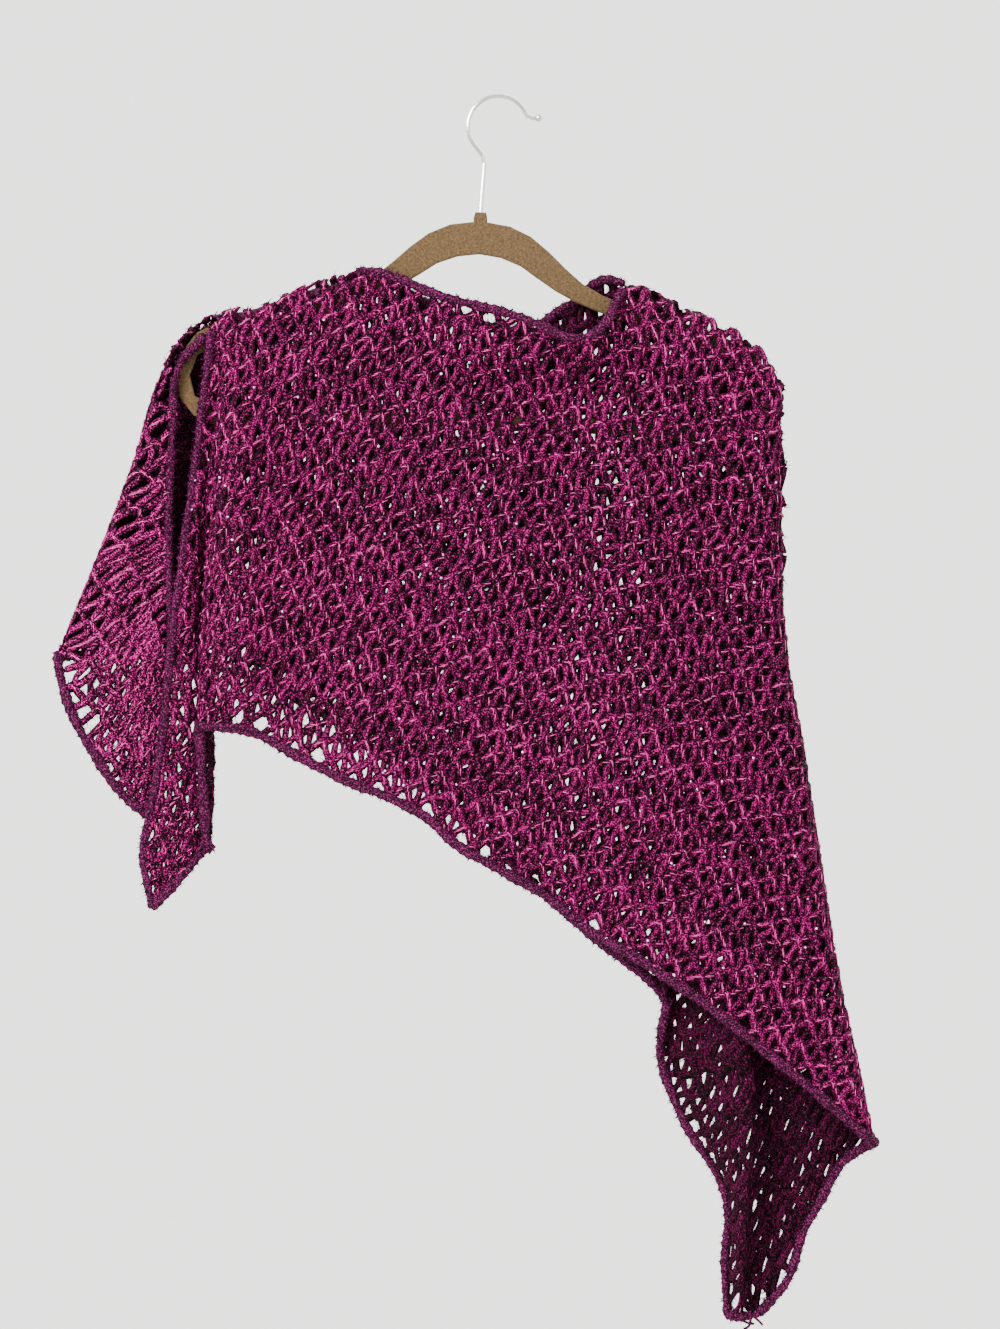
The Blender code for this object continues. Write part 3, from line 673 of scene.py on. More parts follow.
def row_border(grid, along, row):
    """The height of one row at every flat position: (flat position, height)."""
    return along[row], grid[row, :, 1]


yoke_row = int(np.searchsorted(down, YOKE_SHARE))
pleat_column = len(PLEAT_SHARES) + int(np.searchsorted(front_across, PLEAT_SHARE))
lobe_column = LOBE_COLUMNS + int(np.searchsorted(rear_across, LOBE_SHARE))
pleat_border = column_border(front_grid, front_along, pleat_column)
front_yoke_border = row_border(front_grid, front_along, yoke_row)
lobe_border = column_border(back_grid, back_along, lobe_column)
back_yoke_border = row_border(back_grid, back_along, yoke_row)
tail_border = row_border(tail_grid, tail_along, int(TAIL_SHARE * TAIL_ROWS))


def front_stretch(u, v):
    """Which front stretch a flat position lies on, counted from 0: the pleat, the yoke or the panel."""
    yoke = v > np.interp(u, *front_yoke_border)
    return np.where(u < np.interp(v, *pleat_border), 0, np.where(yoke, 1, 2))


def back_stretch(u, v):
    """The same for the back: the lobe, the yoke, the panel or the tail."""
    yoke = v > np.interp(u, *back_yoke_border)
    tail = (v < np.interp(u, *tail_border)) & (u > tail_border[0][0]) & (v < tail_border[1].max())
    return np.where(u < np.interp(v, *lobe_border), 0, np.where(yoke, 1, np.where(tail, 3, 2)))


print("the pleat ends at column", pleat_column, "the lobe at", lobe_column, "the yoke at row", yoke_row)

# %% [markdown]
# ## Where the stitches lie
#
# The mesh repeats on a sheared grid: rows run down to the right, ever more steeply, and each stitch column
# drifts a little to the left from row to row. Every second grid place is a knot where two rows of yarn hook
# into each other, and every other place is an opening that one upright strand splits in two. A smooth
# random wander keeps the openings from looking machine-cut.

# %% The stitch grid
COLUMN_STEP = 9.05
ROW_STEP = 10.4
COLUMN_DRIFT = 0.36
WANDER = 1.1
WANDER_CELLS = 240
WANDER_SIZE = 1.3
WANDER_START = (110.0, 60.0)
SLOPE_STEP = 2.0

chance = np.random.default_rng(20)
wander_field = chance.normal(size=(2, WANDER_CELLS, WANDER_CELLS))


def rows_fall(slope, u):
    """How far a row has dropped at a flat position: the running sum of its slope from zero."""
    fine = np.arange(-460.0, 340.0, SLOPE_STEP)
    fall = -np.tan(np.radians(np.interp(fine, slope["across"], slope["degrees"])))
    summed = np.concatenate([[0], np.cumsum((fall[1:] + fall[:-1]) / 2 * SLOPE_STEP)])
    summed -= np.interp(0.0, fine, summed)
    return np.interp(u, fine, summed)


def smooth_chance(field, column, row):
    """A random value that changes smoothly over the stitch grid: the mean of its four nearest draws."""
    column, row = column / WANDER_SIZE + WANDER_START[0], row / WANDER_SIZE + WANDER_START[1]
    left, top = np.floor(column).astype(int), np.floor(row).astype(int)
    return blend(field, top % (WANDER_CELLS - 1), left % (WANDER_CELLS - 1), row - top, column - left)


def stitch_place(side, column, row):
    """Flat position of a place on the stitch grid. Columns crowd together in the gathered end."""
    u = COLUMN_STEP * (column - COLUMN_DRIFT * row) + WANDER * smooth_chance(wander_field[0], column, row)
    gathered = side["gathered"]
    u = np.where(u < gathered, gathered + side["crowding"] * (u - gathered), u)
    v = side["start"] - ROW_STEP * row + rows_fall(side["slope"], u)
    return u, v + WANDER * smooth_chance(wander_field[1], column, row)


front = {
    "names": FRONT_STRETCHES, "chart": front_chart, "stretch": front_stretch,
    "slope": {"across": (-420, -157, -48, 75, 183, 320), "degrees": (10, 14, 24, 31, 34, 36)},
    "start": -60.0, "weight": 1.04, "gathered": -190.0, "crowding": 0.8, "hairs": 0.7,
}
back = {
    "names": BACK_STRETCHES, "chart": back_chart, "stretch": back_stretch,
    "slope": {"across": (-440, -150, 60, 120, 160, 205, 330), "degrees": (22, 20, 25, 42, 40, -36, -38)},
    "start": -67.0, "weight": 1.26, "gathered": -205.0, "crowding": 0.52, "hairs": 1.0,
}
middle_place = stitch_place(front, np.array([0.0]), np.array([30.0]))
print("the front's place (0, 30) lies at", np.round(np.concatenate(middle_place), 1).tolist(), "mm")

# %% [markdown]
# ## Yarn
#
# A strand is a tube: a ring of points carried along a path. Real fluff would need millions of hairs, so the
# tubes stay plain, and a few thousand coarse hairs, each a needle of four faces, stand for the rest. Each
# row of yarn is a rounded zigzag that just overlaps the rows above and below.

# %% Tubes from paths
class Spool:
    """Collects tubes and turns them into one mesh."""

    def __init__(self, name):
        self.name = name
        self.points = []
        self.quads = []
        self.caps = []
        self.shades = []
        self.depths = []
        self.count = 0

    def wind(self, paths, normals, radius, sides, shade, wide=1.0):
        """Adds one tube for each path. paths and normals are (tubes, points, 3), in millimetres.

        A ring lies across the path. A wide of more than 1 stretches it along the cloth, as soft yarn spreads
        where it lies. Each point's depth is 0 on the cloth's outer face, 0.5 along the strand's sides and 1
        on its inner face; the yarn's material paints shade by it.
        """
        paths = paths * MM
        tubes, length = paths.shape[:2]
        heading = unit(np.gradient(paths, axis=1))
        side = unit(np.cross(heading, normals))
        up = np.cross(side, heading)
        turn = np.linspace(0, 2 * math.pi, sides, endpoint=False) + math.pi / 2
        ring = wide * np.cos(turn)[:, None] * side[:, :, None] + np.sin(turn)[:, None] * up[:, :, None]
        radius = np.broadcast_to(np.asarray(radius, float) * MM, paths.shape[:2])
        points = paths[:, :, None] + ring * radius[..., None, None]
        start = self.count + np.arange(tubes * length * sides).reshape(tubes, length, sides)
        here, there = start[:, :-1], start[:, 1:]
        quads = np.stack([here, np.roll(here, -1, 2), np.roll(there, -1, 2), there], axis=-1)
        self.points.append(points.reshape(-1, 3))
        self.quads.append(quads.reshape(-1, 4))
        self.caps.append(np.concatenate([start[:, 0, ::-1], start[:, -1]]))
        shade = np.broadcast_to(np.asarray(shade, float), (tubes,))
        self.shades.append(np.repeat(shade, length * sides))
        # The depth sets the painted shade: darkest on the inner face, half as dark along the sides.
        self.depths.append(np.tile(0.5 - 0.5 * np.sin(turn), tubes * length))
        self.count += tubes * length * sides

    def prick(self, roots, tips, radius, shade):
        """Adds one hair for each root: a three-sided needle that runs to a point at its tip."""
        roots, tips, radius = roots * MM, tips * MM, radius * MM
        along = unit(tips - roots)
        first = unit(np.cross(along, (0.31, 0.53, 0.79)))
        second = np.cross(along, first)
        corners = [
            roots + radius[:, None] * (math.cos(turn) * first + math.sin(turn) * second)
            for turn in (0, 2 * math.pi / 3, 4 * math.pi / 3)
        ]
        self.points.append(np.stack(corners + [tips], axis=1).reshape(-1, 3))
        at = self.count + 4 * np.arange(len(roots))[:, None, None]
        sides = np.array([(0, 1, 3), (1, 2, 3), (2, 0, 3), (2, 1, 0)])
        self.caps.append((at + sides).reshape(-1, 3))
        self.shades.append(np.repeat(shade, 4))
        # Hairs take half of their material's painted shade.
        self.depths.append(np.full(4 * len(roots), 0.5))
        self.count += 4 * len(roots)

    def cut(self, material):
        """The finished object: rings joined by quads, with a flat cap at both ends of every tube."""
        points = np.concatenate(self.points)
        faces = self.quads + self.caps
        corners = np.concatenate([face.ravel() for face in faces])
        totals = np.concatenate([np.full(len(face), face.shape[1]) for face in faces])
        starts = np.concatenate([[0], np.cumsum(totals)[:-1]])
        mesh = bpy.data.meshes.new(self.name)
        mesh.vertices.add(len(points))
        mesh.vertices.foreach_set("co", points.astype(np.float32).ravel())
        mesh.loops.add(len(corners))
        mesh.loops.foreach_set("vertex_index", corners.astype(np.int32))
        mesh.polygons.add(len(totals))
        mesh.polygons.foreach_set("loop_start", starts.astype(np.int32))
        mesh.update(calc_edges=True)
        mesh.shade_smooth()
        for name, values in (("tint", self.shades), ("depth", self.depths)):
            attribute = mesh.attributes.new(name, "FLOAT", "POINT")
            attribute.data.foreach_set("value", np.concatenate(values).astype(np.float32))
        mesh.materials.append(material)
        piece = show(self.name, mesh)
        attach(piece, "root")
        print(self.name, "triangles:", int((totals - 2).sum()))
        return piece


# %% [markdown]
# ## Materials for yarn and thread
#
# The yarn is marled: dark plum and brighter magenta fibres are spun together. One shared node group gives
# the marl for every yarn piece, and each material places it with its own values. Light hardly reaches the
# cloth's inner face, so painted shade darkens the yarn's colour with its depth: most on the inner face and
# half as much along the strands' sides.

# %% The marl node group
TINT_SHIFT = 0.08
# The fibre noise turns from dark to mid over the first range and from mid to light over the second.
TO_MID = {"From_Min": 0.46, "From_Max": 0.58}
TO_LIGHT = {"From_Min": 0.58, "From_Max": 0.66}


def make_marl_group():
    """Fine fibres from Object coordinates, shifted by the tube's own tint, with painted shade by its depth.
    """
    group = bpy.data.node_groups.new("marled yarn", "ShaderNodeTree")
    sockets = {
        "INPUT": (("Dark", "Color"), ("Mid", "Color"), ("Light", "Color"), ("Fibre Scale", "Float"),
                  ("Depth Shade", "Float")),
        "OUTPUT": (("Color", "Color"), ("Height", "Float"), ("Roughness", "Float")),
    }
    for way, listed in sockets.items():
        for name, kind in listed:
            group.interface.new_socket(name, in_out=way, socket_type="NodeSocket" + kind)
    given, result = group.nodes.new("NodeGroupInput"), group.nodes.new("NodeGroupOutput")
    fibre = add_noise(group, Detail=1.0)
    tint, depth = read_attribute(group, "tint"), read_attribute(group, "depth")
    shift, shadow = add_node(group, "Math"), add_node(group, "Math")
    shift.operation = "MULTIPLY_ADD"
    shift.inputs[1].default_value = TINT_SHIFT
    shadow.operation = "MULTIPLY"
    low, high = add_node(group, "MapRange", **TO_MID), add_node(group, "MapRange", **TO_LIGHT)
    vary_roughness(group, fibre, result, 0.85, 0.55)
    first, second, deep = add_colour_mix(group), add_colour_mix(group), add_colour_mix(group)
    wire(
        group,
        (given, "Fibre Scale", fibre, "Scale"),
        (tint, "Fac", shift, 0),
        (fibre, "Fac", shift, 2),
        (shift, 0, low, "Value"),
        (shift, 0, high, "Value"),
        (low, "Result", first, "Factor"),
        (given, "Dark", first, "A"),
        (given, "Mid", first, "B"),
        (high, "Result", second, "Factor"),
        (first, "Result", second, "A"),
        (given, "Light", second, "B"),
        # Painted shade: the colour turns towards Dark with the depth, by the Depth Shade share.
        (depth, "Fac", shadow, 0),
        (given, "Depth Shade", shadow, 1),
        (shadow, 0, deep, "Factor"),
        (second, "Result", deep, "A"),
        (given, "Dark", deep, "B"),
        (deep, "Result", result, "Color"),
        (fibre, "Fac", result, "Height"),
    )
    return group


marl = make_marl_group()
print("nodes in the marl group:", len(marl.nodes))

# %% Yarn materials
FIBRE_SCALE = 1050.0


def make_yarn(name, dark, mid, light, depth_shade):
    """A marled yarn: the marl group feeds colour, roughness and bump."""
    material, tree, shader = new_material(name, Specular_IOR_Level=0.04)
    fibres = tree.nodes.new("ShaderNodeGroup")
    fibres.node_tree = marl
    set_inputs(fibres, Dark=(*dark, 1), Mid=(*mid, 1), Light=(*light, 1))
    set_inputs(fibres, Fibre_Scale=FIBRE_SCALE, Depth_Shade=depth_shade)
    wire(tree, (fibres, "Color", shader, "Base Color"), (fibres, "Roughness", shader, "Roughness"))
    add_bump(tree, fibres, "Height", shader, 0.6, 0.0006)
    return material


# Each yarn's last value is how far its painted shade by depth darkens it.
mesh_yarn = make_yarn(
    "plum mesh yarn", (0.0004, 0.0001, 0.0003), (0.006, 0.0001, 0.0024), (0.28, 0.006, 0.115), 0.9,
)
# The lobe comes forward into the light, so its copy of the mesh yarn is painted brighter: painted light.
lobe_yarn_painted_lit = make_yarn(
    "plum yarn painted lit", (0.0004, 0.0001, 0.0003), (0.010, 0.0003, 0.004), (0.42, 0.014, 0.18), 0.9,
)
# The hairs are coloured far darker than the yarn: painted shade, so that the openings they cross read dark.
fibre_painted_in_shade = make_yarn(
    "plum fibre painted in shade", (0.0003, 0.0001, 0.0002), (0.0012, 0.0001, 0.0005), (0.03, 0.001, 0.012), 0.0,
)
edge_yarn = make_yarn(
    "plum edge yarn", (0.005, 0.0006, 0.0032), (0.022, 0.0015, 0.011), (0.14, 0.012, 0.075), 0.2,
)
bright_thread = new_material(
    "metallic pink thread", Base_Color=(0.72, 0.08, 0.34, 1), Metallic=0.7, Roughness=0.28,
)[0]
print("yarns:", [item.name for item in (mesh_yarn, lobe_yarn_painted_lit, fibre_painted_in_shade, edge_yarn, bright_thread)])

# %% [markdown]
# ## Materials for the hanger and its hook
#
# The hanger's solid already has its true shape, so it keeps it and only gets its finish: short tan flock,
# which is a fine speckle with a soft bloom. The hook is bright plated wire, with faint streaks left by
# drawing it.

# %% Flocked hanger and plated hook
def dress_node(name, material):
    """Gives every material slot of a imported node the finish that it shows."""
    for place in bpy.data.objects[name].material_slots:
        place.material = material


flock, tree, shader = new_material(
    "tan flock", Specular_IOR_Level=0.1,
    Sheen_Weight=0.15, Sheen_Roughness=0.5, Sheen_Tint=(0.8, 0.55, 0.35, 1),
)
nap = add_noise(tree, Scale=620.0, Detail=2.0)
nap_colour = set_inputs(add_colour_mix(tree), A=(0.0, 0.0, 0.0, 1), B=(0.115, 0.07, 0.031, 1))
wire(tree, (nap, "Fac", nap_colour, "Factor"), (nap_colour, "Result", shader, "Base Color"))
vary_roughness(tree, add_noise(tree, Scale=28.0), shader, 0.75, 0.95)
add_bump(tree, nap, "Fac", shader, 0.5, 0.0004)
dress_node("hanger_body", flock)

plated, tree, shader = new_material("plated wire", Base_Color=(0.42, 0.41, 0.40, 1), Metallic=1.0)
vary_roughness(tree, add_noise(tree, Scale=500.0), shader, 0.12, 0.3)
dress_node("hanger_hook", plated)
print("finishes:", flock.name, plated.name)

# %% [markdown]
# ## The rows of yarn and the upright strands
#
# Each row is one soft, flattened strand along its zigzag. The zigzag could be a plain sine, but then the
# openings come out round. An arcsine of a damped sine keeps the sides nearly straight and rounds only the
# knots. Loose spinning shows as a thickness that changes by chance from one sample to the next. The bright
# thread comes to the surface only in short dashes, so each dash is a short tube of its own, laid slanting
# over the strand.

# %% Rows, uprights and dashes of thread
STEPS_PER_COLUMN = 7
STRAND_RADIUS = 1.0
STRAND_WIDE = 2.65
STRAND_SIDES = 4
KNOT_SWELL = 0.2
LOOSE_SPIN = 0.13
HOOK_OVER = 0.10
UPRIGHT_RADIUS = 0.9
UPRIGHT_WIDE = 2.45
DASH_RADIUS = 0.3
DASH_LIFT = 1.15
DASH_REACH = 1.1
DASH_SHARE = 0.22
# A dash's three points: how far each lies to the side, and how high.
DASH_ASIDE = np.array([-1.0, 0.1, 1.0])
DASH_HIGH = np.array([0.85, 1.0, 0.85])
WEAVE_DEPTH = 0.7
UPRIGHT_BOW = 0.6
UPRIGHT_REACH = 0.94
UPRIGHT_SWAY = 0.12
UPRIGHT_STEPS = 6
UPRIGHT_SWELL = 0.25
SHORTEST_RUN = 5
ZIGZAG_DAMP = 0.93
FULLNESS = {"front_pleat": 1.02, "side_lobe": 0.84, "corner_tail": 0.82}
HAIR_LENGTH = (3.0, 7.0)
HAIR_RADIUS = (0.36, 0.66)
HAIR_START = (0.3, 1.7)
HAIR_LIFT = 0.3
ROW_HAIRS = 2.4
UPRIGHT_HAIRS = 1.2
# The stitch grid's rows and columns, more than cover either side.
ROWS = (0, 90)
COLUMNS = (-70, 110)


def zigzag(column):
    """0 at even columns and 1 at odd ones: the arcsine of a damped sine, so that only the turns are round."""
    swing = np.arcsin(ZIGZAG_DAMP * np.sin(math.pi * (column - 0.5)))
    return 0.5 + swing / (2 * math.asin(ZIGZAG_DAMP))


def unbroken(inside, owner):
    """The runs of neighbouring samples on one stretch of the cloth, as (first, last + 1, stretch).

    A run that goes on from another stretch starts at that one's last sample, so the strand has no gap.
    """
    marks = np.diff(np.concatenate([[0], inside.astype(int), [0]]))
    runs = []
    for first, last in zip(np.flatnonzero(marks == 1), np.flatnonzero(marks == -1)):
        if last - first < SHORTEST_RUN:
            continue
        turns = first + 1 + np.flatnonzero(np.diff(owner[first:last]))
        starts = [first] + list(turns)
        ends = list(turns) + [last]
        runs += [(max(first, a - 1), b, owner[a]) for a, b in zip(starts, ends)]
    return [run for run in runs if run[1] - run[0] > 1]


def lay_dashes(path, normal, radius, thread):
    """Short bright dashes over one run of a strand, each slanting across it."""
    middle = 1 + np.flatnonzero(chance.random(len(path) - 2) < DASH_SHARE)
    if len(middle) == 0:
        return
    at = middle[:, None] + np.array([-1, 0, 1])
    side = unit(np.cross(path[at[:, 2]] - path[at[:, 0]], normal[middle]))
    swing = chance.uniform(0.5, 1.0, len(middle))[:, None, None] * DASH_ASIDE[None, :, None]
    lift = DASH_LIFT * radius[middle][:, None, None] * DASH_HIGH[None, :, None]
    dashes = path[at] + normal[at] * lift + side[:, None] * swing * DASH_REACH
    thread.wind(dashes, normal[at], DASH_RADIUS, 3, 0.0)


def lay_hairs(path, normal, share, fluff, length=1.0):
    """Loose fibre over one or more strands: each hair starts in the yarn and leans out into an opening."""
    heading = unit(np.gradient(path, axis=-2).reshape(-1, 3))
    path, normal = path.reshape(-1, 3), normal.reshape(-1, 3)
    at = chance.integers(0, len(path), int(share * len(path)))
    count, one = len(at), (len(at), 1)
    out = unit(np.cross(heading[at], normal[at])) * chance.choice([-1.0, 1.0], count)[:, None]
    lean = chance.uniform(-1.0, 1.0, one) * heading[at]
    lean = lean + chance.uniform(-HAIR_LIFT, HAIR_LIFT, one) * normal[at]
    along = unit(out + lean)
    roots = path[at] + out * chance.uniform(*HAIR_START, one)
    tips = roots + along * chance.uniform(*HAIR_LENGTH, one) * length
    fluff.prick(roots, tips, chance.uniform(*HAIR_RADIUS, count), chance.uniform(0, 1, count))


def strand_radius(side, plain, shape, owner):
    """Loosely spun yarn's radius, and how much fuller it stands on stretches that show less open mesh."""
    loose = 1 + LOOSE_SPIN * chance.uniform(-1, 1, shape)
    fuller = np.array([FULLNESS.get(name, 1.0) for name in side["names"]])[owner]
    return plain * side["weight"] * loose, fuller


def wind_row(side, row, spools):
    """One row of the mesh: a strand along its path on the cloth, with the dashes of bright thread over it."""
    column = np.arange(*COLUMNS, 1 / STEPS_PER_COLUMN)
    swing = zigzag(column + row)
    u, v = stitch_place(side, column, row - HOOK_OVER + (1 + 2 * HOOK_OVER) * swing)
    centre, normal, inside = look_up(side["chart"], u, v)
    centre = centre + normal * (WEAVE_DEPTH * np.cos(math.pi * (column + row)))[:, None]
    owners = side["stretch"](u, v)
    radius, fuller = strand_radius(side, STRAND_RADIUS, len(column), owners)
    radius = radius * (1 + KNOT_SWELL * (2 * swing - 1) ** 4) * fuller
    for first, last, owner in unbroken(inside, owners):
        path, facing, width = (values[first:last] for values in (centre, normal, radius))
        shade = chance.uniform(0, 1)
        spools["mesh"][owner].wind(path[None], facing[None], width[None], STRAND_SIDES, shade, STRAND_WIDE)
        lay_dashes(path, facing, width, spools["thread"][owner])
        lay_hairs(path, facing, ROW_HAIRS * side["hairs"], spools["fluff"][owner])


def wind_uprights(side, spools):
    """The strand that splits each opening: from the knot above it to the knot below, all in one array."""
    row, column = np.meshgrid(np.arange(*ROWS), np.arange(*COLUMNS), indexing="ij")
    odd = (row + column) % 2 == 1
    row, column = row[odd].astype(float), column[odd].astype(float)
    steps = np.linspace(-UPRIGHT_REACH, UPRIGHT_REACH, UPRIGHT_STEPS)
    sway = UPRIGHT_SWAY * np.sin(steps * 2.2 + row[:, None])
    u, v = stitch_place(side, column[:, None] + sway, row[:, None] + steps)
    centre, normal, inside = look_up(side["chart"], u, v)
    whole = inside.all(axis=1)
    centre, normal = centre[whole], normal[whole]
    owner = side["stretch"](u, v)[whole, 3]
    middle = centre + normal * (UPRIGHT_BOW * np.cos(steps * math.pi / 2))[None, :, None]
    radius, fuller = strand_radius(side, UPRIGHT_RADIUS, middle.shape[:2], owner)
    radius = radius * (1 + UPRIGHT_SWELL * np.abs(steps)) * fuller[:, None]
    shade = chance.uniform(0, 1, len(middle))
    for number, post in enumerate(spools["uprights"]):
        mine = owner == number
        post.wind(middle[mine], normal[mine], radius[mine], STRAND_SIDES, shade[mine], UPRIGHT_WIDE)
        if mine.any():
            lay_hairs(middle[mine], normal[mine], UPRIGHT_HAIRS * side["hairs"], spools["fluff"][number])
    return len(middle)


mesh_pieces = {}
worked_in = {}


def make_mesh(side):
    """One side's mesh, wound once and handed to its stretches, with what is worked into each."""
    kinds = ("mesh", "uprights", "thread", "fluff")
    spools = {kind: [Spool(f"{name}_{kind}") for name in side["names"]] for kind in kinds}
    for row in range(*ROWS):
        wind_row(side, row, spools)
    uprights = wind_uprights(side, spools)
    print(side["names"], "openings:", 2 * uprights)
    for number, name in enumerate(side["names"]):
        # The lobe takes the copy of the yarn painted brighter as painted light.
        yarn = lobe_yarn_painted_lit if name == "side_lobe" else mesh_yarn
        # The hairs get the fibre painted dark as shade.
        finishes = {"mesh": yarn, "uprights": yarn, "thread": bright_thread, "fluff": fibre_painted_in_shade}
        mesh_pieces[name], *worked_in[name] = (spools[kind][number].cut(finishes[kind]) for kind in kinds)
        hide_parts(name)


make_mesh(front)
make_mesh(back)

# %% [markdown]
# ## Rolled selvedges
#
# Knitting curls at its edges, so the hem, the neckline and both short ends show as a soft solid roll. It
# could be a plain round tube, but a rope of three strands gives the slanted bumps that the real edge has.

# %% Edge rolls
ROLL_STRAND_RADIUS = 2.45
ROLL_OFFSET = 1.85
ROLL_HAIRS = 3.0
ROLL_HAIR_LENGTH = 0.62
ROLL_PITCH = 10.0
ROLL_STEP = 2.2
ROLL_SIDES = 5
# The roll swells and thins along its length: by how much, over what length, and where each swell starts.
ROLL_SWELLS = ((0.12, 7.3, 0), (0.08, 2.9, 1))


def along_edge(points, step):
    """The edge again with evenly spaced points: the running length is cut into equal steps."""
    lengths = np.linalg.norm(np.diff(points, axis=0), axis=1)
    run = np.concatenate([[0], np.cumsum(lengths)])
    at = np.linspace(0, run[-1], max(4, int(run[-1] / step)))
    return resample(points, run, at), at


def roll_edge(spool, edge, outward, size):
    """Three strands wound round the edge's line: each is the line plus a circle that turns once per pitch.

    The line's normal simply faces the front (outward -1) or the wall (1).
    """
    line, at = along_edge(edge[:, [0, 2, 1]], ROLL_STEP)
    heading = unit(np.gradient(line, axis=0))
    side = unit(np.cross(heading, (0.0, outward, 0.0)))
    over = np.cross(side, heading)
    swell = sum((share * np.sin(at / length + start) for share, length, start in ROLL_SWELLS), 1)
    for strand in range(3):
        turn = 2 * math.pi * (at / ROLL_PITCH + strand / 3)
        ring = np.cos(turn)[:, None] * side + np.sin(turn)[:, None] * over
        path = line + ring * (ROLL_OFFSET * size * swell)[:, None]
        radius = ROLL_STRAND_RADIUS * size * swell
        spool.wind(path[None], over[None], radius[None], ROLL_SIDES, 0.25 + 0.1 * strand)
        lay_hairs(path, over, ROLL_HAIRS, spool, ROLL_HAIR_LENGTH)


NECKLINE = (-101, 92)


def neckline(top):
    """The points of a top edge between the two shoulders."""
    return top[(top[:, 0] > NECKLINE[0]) & (top[:, 0] < NECKLINE[1])]


FRONT_MAIN = len(PLEAT_SHARES)
BACK_MAIN = LOBE_COLUMNS - 1
edges = {
    "front_edge_roll": [
        (front_grid[-1], -1, 1.0),
        (front_grid[:, 0], -1, 0.85),
        (neckline(front_grid[0, FRONT_MAIN:]), -1, 0.9),
    ],
    "back_edge_roll": [
        (back_grid[-1, :first_tail_column + 1], -1, 1.0),
        (back_grid[:, 0], -1, 0.85),
        (np.concatenate([tail_grid[:, 0], tail_grid[-1, 1:]]), -1, 0.9),
        (tail_grid[:, -1], -1, 0.9),
        (neckline(back_grid[0, BACK_MAIN:]), 1, 0.9),
    ],
}
for name, lines in edges.items():
    spool = Spool(name)
    for edge, outward, size in lines:
        roll_edge(spool, edge, outward, size)
    spool.cut(edge_yarn)

# %% [markdown]
# ## Closing the folds
#
# The strip runs on over the right shoulder and round the fold below it, so the mesh has no edge there. A
# laced strand carries the yarn from the front's last stitches round to the back's. The left shoulder is
# really sewn: there the same lacing is set closer and pulled tighter, as an overcast seam is.

# %% Lacing over the fold and the seam
LACE_STEPS = 8
LACE_SIDES = 5


def lace(spool, front_line, back_line, out, reach, pitch, radius):
    """A strand that swings from one line to the other and back, and stands out past both as it crosses."""
    out = np.array(out, float)
    front_even, at = along_edge(front_line[:, [0, 2, 1]], pitch / LACE_STEPS)
    back_even, _ = along_edge(back_line[:, [0, 2, 1]], pitch / LACE_STEPS)
    count = min(len(front_even), len(back_even))
    at = at[:count]
    share = np.linspace(0, 1, count)
    front_even = resample(front_even, np.linspace(0, 1, len(front_even)), share)
    back_even = resample(back_even, np.linspace(0, 1, len(back_even)), share)
    swing = 0.5 - 0.5 * np.cos(2 * math.pi * at / pitch)
    path = front_even * (1 - swing)[:, None] + back_even * swing[:, None]
    path = path + np.sin(math.pi * swing)[:, None] * (reach * out)
    spool.wind(path[None], np.tile(out, (1, count, 1)), radius, LACE_SIDES, 0.6)


SHOULDER_ROW = 5
FOLD_COLUMN = -5
SHOULDER_ENDS = {"left": -97, "right": 88}
tops = (front_grid[SHOULDER_ROW, FRONT_MAIN:], back_grid[SHOULDER_ROW, BACK_MAIN:])
side_lines = (front_grid[2:, FOLD_COLUMN], back_grid[2:, FOLD_COLUMN])
right_lines = [top[top[:, 0] > SHOULDER_ENDS["right"]] for top in tops]
left_lines = [top[top[:, 0] < SHOULDER_ENDS["left"]] for top in tops]
# For each piece, its material and its places: the lines that it joins, the way out of the cloth there, and
# the reach, pitch and radius of the strand that goes and of the one that comes back.
LACINGS = {
    "fold_lacing": (mesh_yarn, (
        (side_lines, (1, 0, 0), (2.2, 9.0, 1.2), (2.0, 9.8, 1.1)),
        (right_lines, (0, 0, 1), (2.0, 9.0, 1.2), (1.8, 9.7, 1.1)),
    )),
    "shoulder_seam": (edge_yarn, (
        (left_lines, (0, 0, 1), (2.4, 4.6, 1.15), (2.2, 5.3, 1.1)),
    )),
}
for name, (finish, places) in LACINGS.items():
    spool = Spool(name)
    for (front_line, back_line), out, going, coming in places:
        lace(spool, front_line, back_line, out, *going)
        lace(spool, front_line[::-1], back_line[::-1], out, *coming)
    spool.cut(finish)

# %% [markdown]
# ## Sequins and the loose yarn ends
#
# Small round sequins are threaded on the yarn here and there, each a thin six-sided disc tipped its own
# way, so only some of them flash. Where the knitting ended, at the tail's tip, short ends of yarn hang
# loose.

# %% Sequins
SEQUIN_RADIUS = 1.05
SEQUIN_THICKNESS = 0.3
SEQUIN_LIFT = 1.9
SEQUIN_TIP = 0.7
SEQUIN_SIDES = 6
SEQUIN_COUNTS = {"front": 150, "back": 110}

sequin_film, tree, shader = new_material("pink sequin film", Metallic=0.85, Roughness=0.18)
film_colour = set_inputs(add_colour_mix(tree), A=(0.55, 0.06, 0.30, 1), B=(0.75, 0.55, 0.85, 1))
film_tint = read_attribute(tree, "tint")
wire(tree, (film_tint, "Fac", film_colour, "Factor"), (film_colour, "Result", shader, "Base Color"))


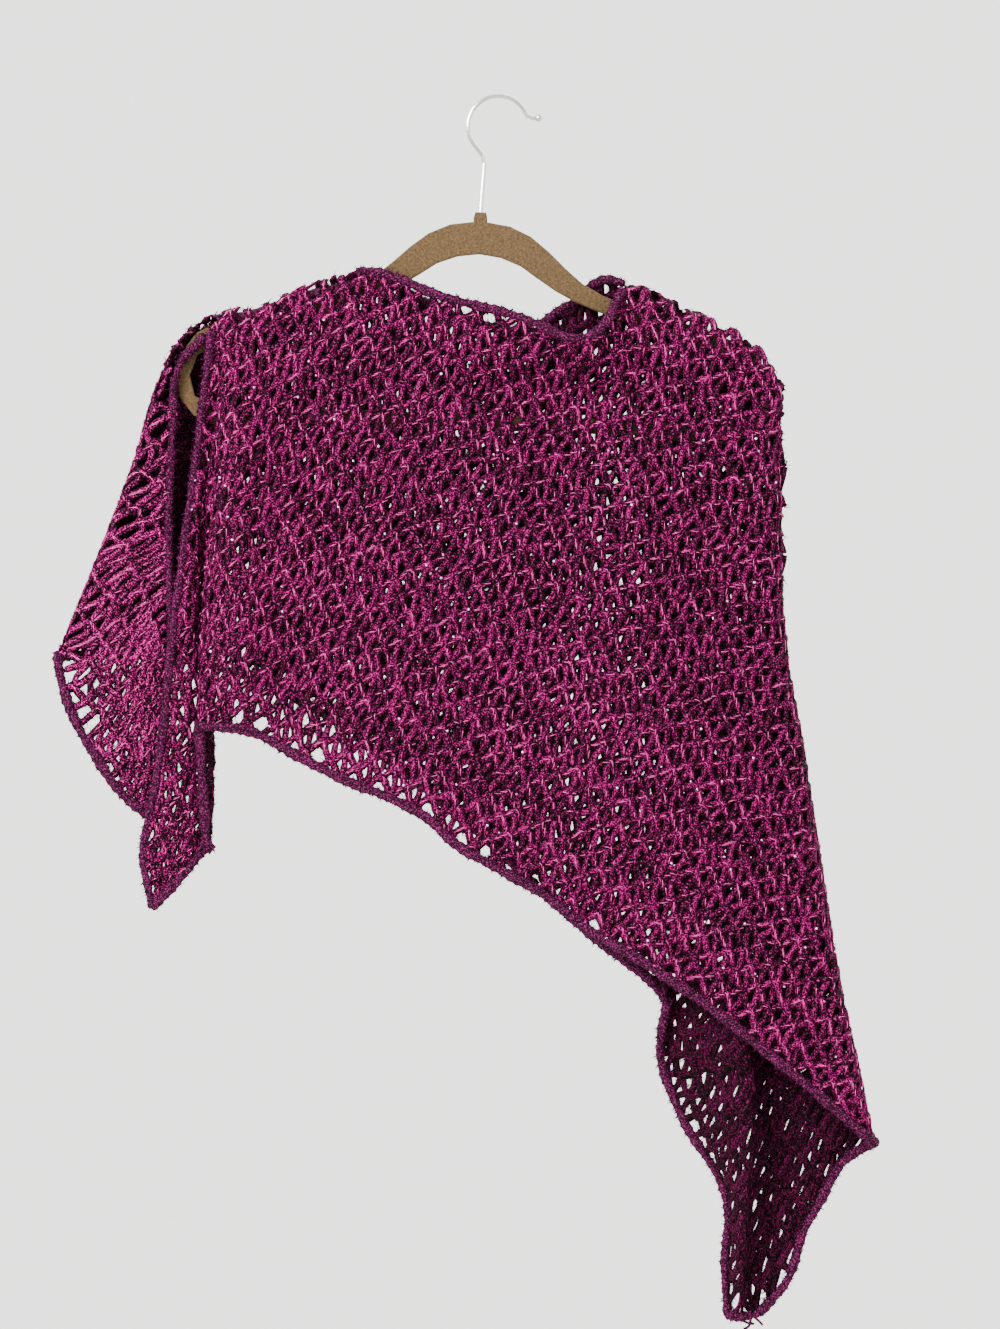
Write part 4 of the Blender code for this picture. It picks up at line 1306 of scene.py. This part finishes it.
def sew_sequins(spool, chart, count):
    """Discs at random places of the cloth: each is a tube of one short step, along a tipped normal."""
    rows, columns = np.nonzero(chart["inside"])
    pick = chance.choice(len(rows), count, replace=False)
    u, v = chart["across"] + columns[pick] * CHART_STEP, chart["top"] - rows[pick] * CHART_STEP
    centre, normal, whole = look_up(chart, u, v)
    centre, normal = centre[whole], normal[whole]
    tipped = unit(normal + chance.uniform(-SEQUIN_TIP, SEQUIN_TIP, centre.shape))
    low = centre + normal * SEQUIN_LIFT
    paths = np.stack([low, low + tipped * SEQUIN_THICKNESS], axis=1)
    across = np.cross(tipped, (0.3, 0.2, 0.9))
    shade = chance.uniform(0, 1, len(low))
    spool.wind(paths, np.stack([across, across], axis=1), SEQUIN_RADIUS, SEQUIN_SIDES, shade)


sequins = Spool("sequins")
sew_sequins(sequins, front_chart, SEQUIN_COUNTS["front"])
sew_sequins(sequins, back_chart, SEQUIN_COUNTS["back"])
sequins.cut(sequin_film)

# %% Loose yarn ends
# Each end is a curve from its start towards its bend and on to its end, in millimetres from the tail's tip.
YARN_ENDS = (
    ((-6.0, 0.0, 3.0), (-2.0, -1.5, -5.0), (7.0, -2.0, -5.0)),
    ((-3.0, 0.0, 4.0), (8.0, -2.5, 1.0), (13.0, -3.0, -6.0)),
    ((4.0, 0.0, 4.0), (6.0, -3.0, -8.0), (-1.0, -3.0, -8.5)),
)
YARN_END_POINTS = 14
YARN_END_RADIUS = 1.0
YARN_END_SIDES = 6
tail_points = tail_grid.reshape(-1, 3)[:, [0, 2, 1]]
tail_tip = tail_points[np.argmin(tail_points[:, 2])]
yarn_ends = Spool("yarn_ends")
t = np.linspace(0, 1, YARN_END_POINTS)[:, None]
forward = np.tile([0.0, -1.0, 0.0], (1, len(t), 1))
for start, bend, end in YARN_ENDS:
    curve = (1 - t) ** 2 * np.array(start) + 2 * t * (1 - t) * np.array(bend) + t ** 2 * np.array(end)
    yarn_ends.wind((tail_tip + curve)[None], forward, YARN_END_RADIUS, YARN_END_SIDES, 0.5)
yarn_ends.cut(edge_yarn)

# %% [markdown]
# ## What the sheets are cut from
#
# Each stretch's flat size and area are counted on the chart of the laid-out strip. They could be typed
# in, but then they would not follow the tables.

def flat_cuts(side):
    """The flat size and area of each stretch.

    The area is the sum of the chart's cells in space. A cell's area is the length of the cross product of
    its two sides. The width is the longest row of cells, widened by as much as they outgrow the chart's.
    """
    chart = side["chart"]
    points = chart["points"]
    across, down = points[:-1, 1:] - points[:-1, :-1], points[1:, :-1] - points[:-1, :-1]
    cells = np.linalg.norm(np.cross(across, down), axis=-1)
    inside = chart["inside"][:-1, :-1] & np.isfinite(cells)
    rows, columns = np.nonzero(inside)
    owner = side["stretch"](chart["across"] + columns * CHART_STEP, chart["top"] - rows * CHART_STEP)
    cuts = {}
    for number, name in enumerate(side["names"]):
        mine = owner == number
        area = float(cells[rows[mine], columns[mine]].sum())
        grown = area / (mine.sum() * CHART_STEP ** 2)
        wide = np.bincount(rows[mine]).max() * CHART_STEP * max(1.0, grown)
        long = np.ptp(rows[mine]) * CHART_STEP + CHART_STEP
        cuts[name] = ((float(wide * MM), float(long * MM)), area * MM * MM)
    return cuts


cuts = {**flat_cuts(front), **flat_cuts(back)}
for name, (flat, area) in cuts.items():
    print(name, "flat in metres:", np.round(flat, 3).tolist(), "area:", round(area, 4))
